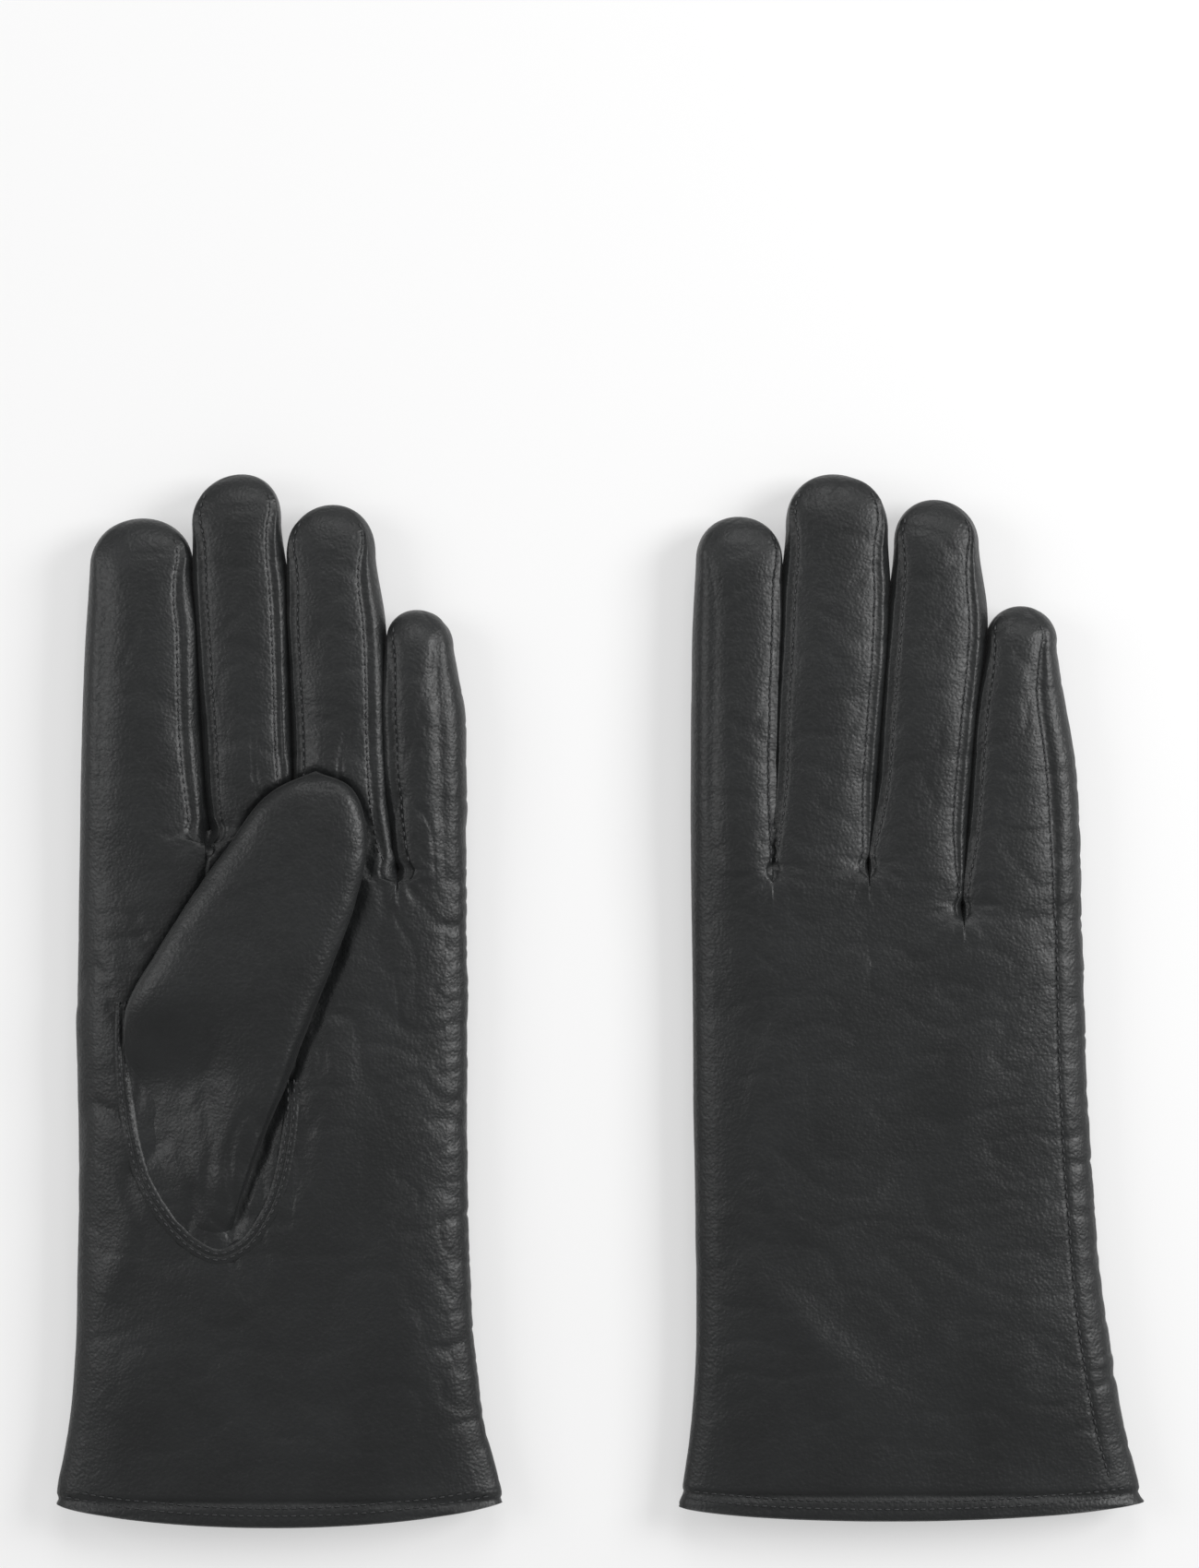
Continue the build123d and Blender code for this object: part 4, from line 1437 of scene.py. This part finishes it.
@dataclass
class ThumbWelt:
    """The raised seam that joins the thumb's gusset to the palm, with its two rows of stitching.

    Attributes:
        hand: The leather that it lies on.
        maker: Lays the stitches.
        origin: The glove's origin in the shared frame, in metres.
        line: Middle of the seam on the flat outline, from the thumb's outer side round its heel.
        width: Width of the seam.
        rise: How far it stands proud.
    """

    hand: HandSkin
    maker: StitchMaker
    origin: Vector
    line: Curve = ((-36.0, 126.0), (-36.0, 114.1), (-35.4, 104.3), (-33.8, 94.0), (-31.1, 84.1), (-28.0, 78.3),
                   (-23.9, 72.5), (-19.0, 68.0), (-12.8, 65.3), (-6.5, 68.0), (-1.6, 74.3), (1.6, 81.7),
                   (3.6, 90.6), (4.7, 100.3), (4.7, 107.4))
    width: float = 3.6
    rise: float = 0.55

    def strip(self, offset: float, lift: float) -> np.ndarray:
        """Points along the seam, moved sideways and raised, in millimetres.

        Args:
            offset: How far sideways, to the left of the way along it.
            lift: How far above the leather.

        Returns:
            Rows of x, y and z.
        """
        flat = path(self.line, np.linspace(0, 1, 160))
        way = np.gradient(flat, axis=0)
        way /= np.linalg.norm(way, axis=1, keepdims=True)
        side = np.stack([-way[:, 1], way[:, 0]], axis=1)
        flat = flat + side * offset
        ground = self.hand.surface_height(flat[:, 0], flat[:, 1])
        smooth = np.convolve(np.pad(ground, 4, mode="edge"), np.ones(9) / 9, mode="valid")
        return np.column_stack([flat, smooth + lift])

    def build(self, leather: bpy.types.Material) -> tuple[bpy.types.Object, bpy.types.Object]:
        """Makes the seam and its stitches.

        Args:
            leather: The seam's finish.

        Returns:
            The seam and its thread.
        """
        half = self.width / 2
        row = half * 0.42  # from the middle to each row of stitches
        crest = half * 0.72
        section = ((-half - 0.5, -0.5), (-half, 0.15), (-crest, 0.8), (-row, 0.55), (-0.25, 1.0), (0.0, 0.25),
                   (0.25, 1.0), (row, 0.55), (crest, 0.8), (half, 0.15), (half + 0.5, -0.5), (0.0, -1.2))
        lines = [self.strip(across, high * self.rise) for across, high in section]
        grid = np.stack(lines, axis=1)
        rows, cols = grid.shape[:2]
        index = np.arange(rows * cols).reshape(rows, cols)
        quads = []
        for k in range(cols):
            n = (k + 1) % cols
            for m in range(rows - 1):
                quads.append([index[m, k], index[m + 1, k], index[m + 1, n], index[m, n]])
        quads.append([int(i) for i in index[0]])
        quads.append([int(i) for i in index[-1][::-1]])
        points = grid.reshape(-1, 3)
        name = f"{self.hand.plan.side}_thumb_welt"
        place = points * MM + np.array(self.origin)
        welt = make_mesh(name, place, quads, None, points * MM, leather)
        runs = []
        for across in (-row, row):
            runs.append(self.strip(across, 0.62 * self.rise + 0.1) * MM + np.array(self.origin))
        name = f"{self.hand.plan.side}_thumb_seam_thread"
        thread = self.maker.sew(name, runs, STITCH_PITCH, HEM_STITCH)
        return welt, thread


@dataclass
class ThumbSkin:
    """Leather of one thumb, from the heel of its seam to its tip.

    Attributes:
        hand: The leather that it lies on or under.
        rows: Rows of points from heel to tip.
        columns: Points across each side.
        gusset_lean: Share of the width where the gusset by the heel is at full height, and where it drops.
        gusset_round: Power of that drop.
        side_round: Power of the thumb's section once it lies folded over.
        folds_over: Shares of the length between which the gusset becomes the folded thumb.
        lifts_off: Shares of the length between which it leaves the seam and lies on the palm.
        end_start: Share of the length where the tip starts to round off.
        end_round: Power of that rounding.
        heel_height: Share of the thickness at the heel, and share of the length where it is full.
        edge_height: Height of the sides' middle, as a share of the thickness.
        broad, heel: Folds of all the thumb, and of the leather round its heel.
        heel_fan: Stretches the heel's folds along the thumb.
        heel_end: Heights between which the heel's folds fade out.
        under_share: Share of the folds where the thumb can't be seen.
    """

    hand: HandSkin
    rows: int = 90
    columns: int = 44
    gusset_lean: tuple[float, float] = (0.85, 0.93)
    gusset_round: float = 2.2
    side_round: float = 5.0
    folds_over: tuple[float, float] = (0.34, 0.56)
    lifts_off: tuple[float, float] = (0.30, 0.50)
    end_start: float = 0.84
    end_round: float = 2.4
    heel_height: tuple[float, float] = (0.30, 0.36)
    edge_height: float = 0.45
    broad: tuple[Wave, ...] = (
        Wave((0.05, 0.045, 0.05), 0, 0.55),
        Wave((0.13, 0.16, 0.1), 3, 0.14),
        Wave((0.07, 0.09, 0.05), 9, 0.15, sharp=True),
    )
    heel: tuple[Wave, ...] = (
        Wave((0.10, 0.12, 0.1), 6, 0.30),
        Wave((0.12, 0.12, 0.1), 7, 0.18, sharp=True),
    )
    heel_fan: Triple = (1.0, 0.35, 0.3)
    heel_end: tuple[float, float] = (95.0, 125.0)
    under_share: float = 0.3

    def build(self, origin: Vector, leather: bpy.types.Material) -> bpy.types.Object:
        """Makes the thumb.

        Args:
            origin: The glove's origin in the shared frame, in metres.
            leather: The finish.

        Returns:
            The new piece.
        """
        plan = self.hand.plan
        share = (1 - np.cos(np.linspace(0, math.pi, self.rows))) / 2
        share = 0.5 * share + 0.5 * np.linspace(0, 1, self.rows)
        left = path(plan.thumb_left, share)
        right = path(plan.thumb_right, share)
        u = (1 - np.cos(np.linspace(0, math.pi, self.columns))) / 2
        flat = left[:, None, :] * (1 - u)[None, :, None] + right[:, None, :] * u[None, :, None]
        s = share[:, None]
        even = (1 - np.abs(2 * u - 1) ** self.side_round)[None, :] ** 0.5
        top_at, drop_at = self.gusset_lean
        drop = np.clip((u - drop_at) / (1 - drop_at), 0, 1) ** self.gusset_round
        leaning = (ramp(0.0, top_at, u) * np.sqrt(np.clip(1 - drop, 0, 1)))[None, :]
        turn = ramp(*self.folds_over, s)
        if plan.face is Face.BACK_UP:
            turn = np.ones_like(s)
        crown = leaning * (1 - turn) + even * turn
        closed = np.clip((s - self.end_start) / (1 - self.end_start), 0, 1) ** self.end_round
        low_share, full_at = self.heel_height
        rising = low_share + (1 - low_share) * ramp(0.0, full_at, s)
        tall = plan.thumb_height * rising * np.sqrt(np.clip(1 - closed, 0, 1))
        edge = tall * self.edge_height * turn
        if plan.face is Face.PALM_UP:
            base = self.hand.surface_height(flat[..., 0].ravel(), flat[..., 1].ravel())
            lying = ramp(*self.lifts_off, s)
            palm = MIDDLE + self.hand.height + 0.25
            base = (base.reshape(flat.shape[:2]) - 0.35) * (1 - lying) + palm * lying
        else:
            base = np.full(flat.shape[:2], 0.15)
        top = base + edge + (tall - edge) * crown * ramp(0.0, 0.06, s)
        low = base + edge * (1 - crown)
        sheets = []
        for z in (top, low):
            sheets.append(np.concatenate([flat, z[..., None]], axis=-1))
        points = np.concatenate([sheet.reshape(-1, 3) for sheet in sheets])
        count = self.rows * self.columns
        index = np.arange(count).reshape(self.rows, self.columns)
        quads = np.concatenate([grid_quads(index, True), grid_quads(index, False) + count])
        upper = np.repeat([1.0, 0.0], count)
        skin = Skin(points, quads, np.zeros(len(quads)), np.zeros(len(points)), upper).welded()
        normal = skin.normals()
        flat_place = skin.points.copy()
        seed = plan.seed + 40
        round_heel = 1 - ramp(*self.heel_end, flat_place[:, 1])
        relief = folds(self.broad, flat_place, seed)
        relief += folds(self.heel, flat_place * np.array(self.heel_fan), seed) * round_heel
        if plan.face is Face.BACK_UP:
            relief *= 0.2
        seen = self.under_share + (1 - self.under_share) * skin.upper
        skin.points = skin.points + normal * (relief * seen)[:, None]
        used, faces = loose_faces(skin.quads)
        return make_mesh(
            f"{plan.side}_thumb_leather_skin",
            skin.points[used] * MM + np.array(origin),
            faces,
            skin.normals()[used],
            flat_place[used] * MM,
            leather,
        )


def load_origin(plan: GlovePlan) -> Vector:
    """The glove's origin in the shared frame: below the middle of its palm, level with its hem.

    Args:
        plan: The glove.

    Returns:
        The origin in metres.
    """
    low, high = (Vector(corner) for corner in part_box(f"{plan.side}_palm_panel"))
    if plan.face is Face.PALM_UP:
        return Vector((low.x + PALM_REACH[Face.PALM_UP] * MM, low.y, 0.0))
    return Vector((high.x - PALM_REACH[Face.BACK_UP] * MM, low.y, 0.0))


def stage_floor() -> None:
    """Lays the pale floor."""
    bpy.ops.mesh.primitive_plane_add(size=6.0, location=(0, 0, -0.0002))
    floor = bpy.context.object
    floor.name = "floor"
    material = bpy.data.materials.new("floor")
    material.use_nodes = True
    shader = material.node_tree.nodes["Principled BSDF"]
    shader.inputs["Base Color"].default_value = (FLOOR_GREY, FLOOR_GREY, FLOOR_GREY, 1.0)
    shader.inputs["Roughness"].default_value = 0.9
    shader.inputs["Emission Color"].default_value = (1.0, 1.0, 1.0, 1.0)
    shader.inputs["Emission Strength"].default_value = FLOOR_GLOW
    floor.data.materials.append(material)


def softbox(name: str, place: Triple, size: float, power: float) -> None:
    """Hangs one square soft light that faces the pair.

    Args:
        name: The light's name.
        place: Where it hangs, in metres.
        size: Length of its side.
        power: Its power in watts.
    """
    light = bpy.data.lights.new(name, "AREA")
    light.shape = "SQUARE"
    light.size = size
    light.energy = power
    thing = bpy.data.objects.new(name, light)
    thing.location = place
    thing.rotation_euler = (Vector(LIGHT_AIM) - Vector(place)).to_track_quat("-Z", "Y").to_euler()
    bpy.context.scene.collection.objects.link(thing)


def set_camera() -> None:
    """Hangs the camera straight over the pair."""
    camera = bpy.data.cameras.new("camera")
    camera.lens = LENS
    camera.sensor_fit = "VERTICAL"
    camera.sensor_height = SENSOR
    camera.sensor_width = SENSOR
    thing = bpy.data.objects.new("camera", camera)
    thing.location = (*VIEW_MIDDLE, VIEW_HEIGHT * LENS / SENSOR + MIDDLE * MM)
    bpy.context.scene.collection.objects.link(thing)
    bpy.context.scene.camera = thing


def set_light() -> None:
    """Sets the soft studio light: a strong box from the right and weak fill all round."""
    softbox("key", (0.85, 0.28, 0.70), size=0.50, power=8.5)
    softbox("fill_left", (-0.90, 0.20, 0.75), size=0.6, power=3.5)
    softbox("top", (0.05, 0.95, 0.90), size=0.6, power=3.5)
    world = bpy.data.worlds.new("studio")
    world.use_nodes = True
    background = world.node_tree.nodes["Background"]
    background.inputs["Color"].default_value = (1, 1, 1, 1)
    background.inputs["Strength"].default_value = WORLD_GLOW
    bpy.context.scene.world = world
    bpy.context.scene.view_settings.view_transform = "Standard"


def joint_of(name: str) -> dict:
    """The record's joint with a name."""
    return next(joint for joint in frame["joints"] if joint["name"] == name)


def bend_finger(piece: bpy.types.Object) -> None:
    """Bakes a piece's transform into its mesh.

    Args:
        piece: The piece.
    """
    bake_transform(piece)


def bend_thumb(piece: bpy.types.Object, plan: GlovePlan) -> None:
    """Bakes a piece's transform into its mesh; the thumb's joint and its direction are worked out but not used.

    Args:
        piece: The piece.
        plan: The glove.
    """
    joint = joint_of(f"{plan.side}_thumb_swing")
    along_thumb = Vector((0, 0, 1)).cross(Vector(joint["axis"]))
    if plan.face is Face.BACK_UP:
        along_thumb = -along_thumb
    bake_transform(piece)


def build_glove(
    plan: GlovePlan, leather: bpy.types.Material, knit: bpy.types.Material, maker: StitchMaker
) -> None:
    """Builds one glove and fixes its hand's pieces to the hand's body; its fingers and thumb are not fixed to
    any body.

    Args:
        plan: The glove.
        leather: Finish of the leather.
        knit: Finish of the lining.
        maker: Lays the stitches.
    """
    side = plan.side
    origin = load_origin(plan)
    hand = HandSkin(plan)
    hand.build()
    pieces = hand.dress(origin, leather)
    skin = pieces.pop("hand")
    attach(skin, f"{side}_hand")
    nodes = ("back_panel", "palm_panel", "crotch_gussets", "finger_folds")
    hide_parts(*(f"{side}_{n}" for n in nodes))
    LOG.info("%s: %d faces", skin.name, len(skin.data.polygons))
    thread = SeamThread(hand, maker, origin)
    own, ends = thread.fingers()
    for name, piece in pieces.items():
        bend_finger(piece)
        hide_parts(*(f"{side}_{name}_{n}" for n in ("back", "palm", "fourchettes", "lining")))
        bend_finger(own[name])
        LOG.info("%s: %d faces", piece.name, len(piece.data.polygons))
    for piece, node in (
        (ends, None),
        (thread.hem(), "hem_stitching"),
        (thread.side_seam(), "side_seam_stitching"),
    ):
        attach(piece, f"{side}_hand")
        if node:
            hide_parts(f"{side}_{node}")
    cuff = Cuff(hand)
    facing = cuff.tube(f"{side}_cuff_facing", cuff.roll, origin, leather)
    lining = cuff.tube(f"{side}_cuff_lining", cuff.lining, origin, knit)
    for piece, slot, node in (
        (facing, "glove_leather", "hem_facing"),
        (lining, "knit_lining", "hand_lining"),
    ):
        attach(piece, f"{side}_hand")
        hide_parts(f"{side}_{node}")
    piece = ThumbSkin(hand).build(origin, leather)
    bend_thumb(piece, plan)
    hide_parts(*(f"{side}_{n}" for n in ("thumb_leather", "thumb_lining", "thumb_gusset")))
    LOG.info("%s: %d faces", piece.name, len(piece.data.polygons))
    if plan.face is Face.BACK_UP:
        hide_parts(f"{side}_thumb_seam_stitching")
        return
    welt, welt_thread = ThumbWelt(hand, maker, origin).build(leather)
    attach(welt, f"{side}_hand")
    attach(welt_thread, f"{side}_hand")
    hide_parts(f"{side}_thumb_seam_stitching")


def main() -> None:
    """Builds both gloves, the light and the camera."""
    logging.basicConfig(level=logging.INFO, format="%(name)s: %(message)s")
    leather = Leather().material()
    knit = Knit().material()
    maker = StitchMaker(Thread().material())
    for plan in (LEFT, RIGHT):
        build_glove(plan, leather, knit, maker)
    stage_floor()
    set_light()
    set_camera()


if __name__ == "__main__":
    main()
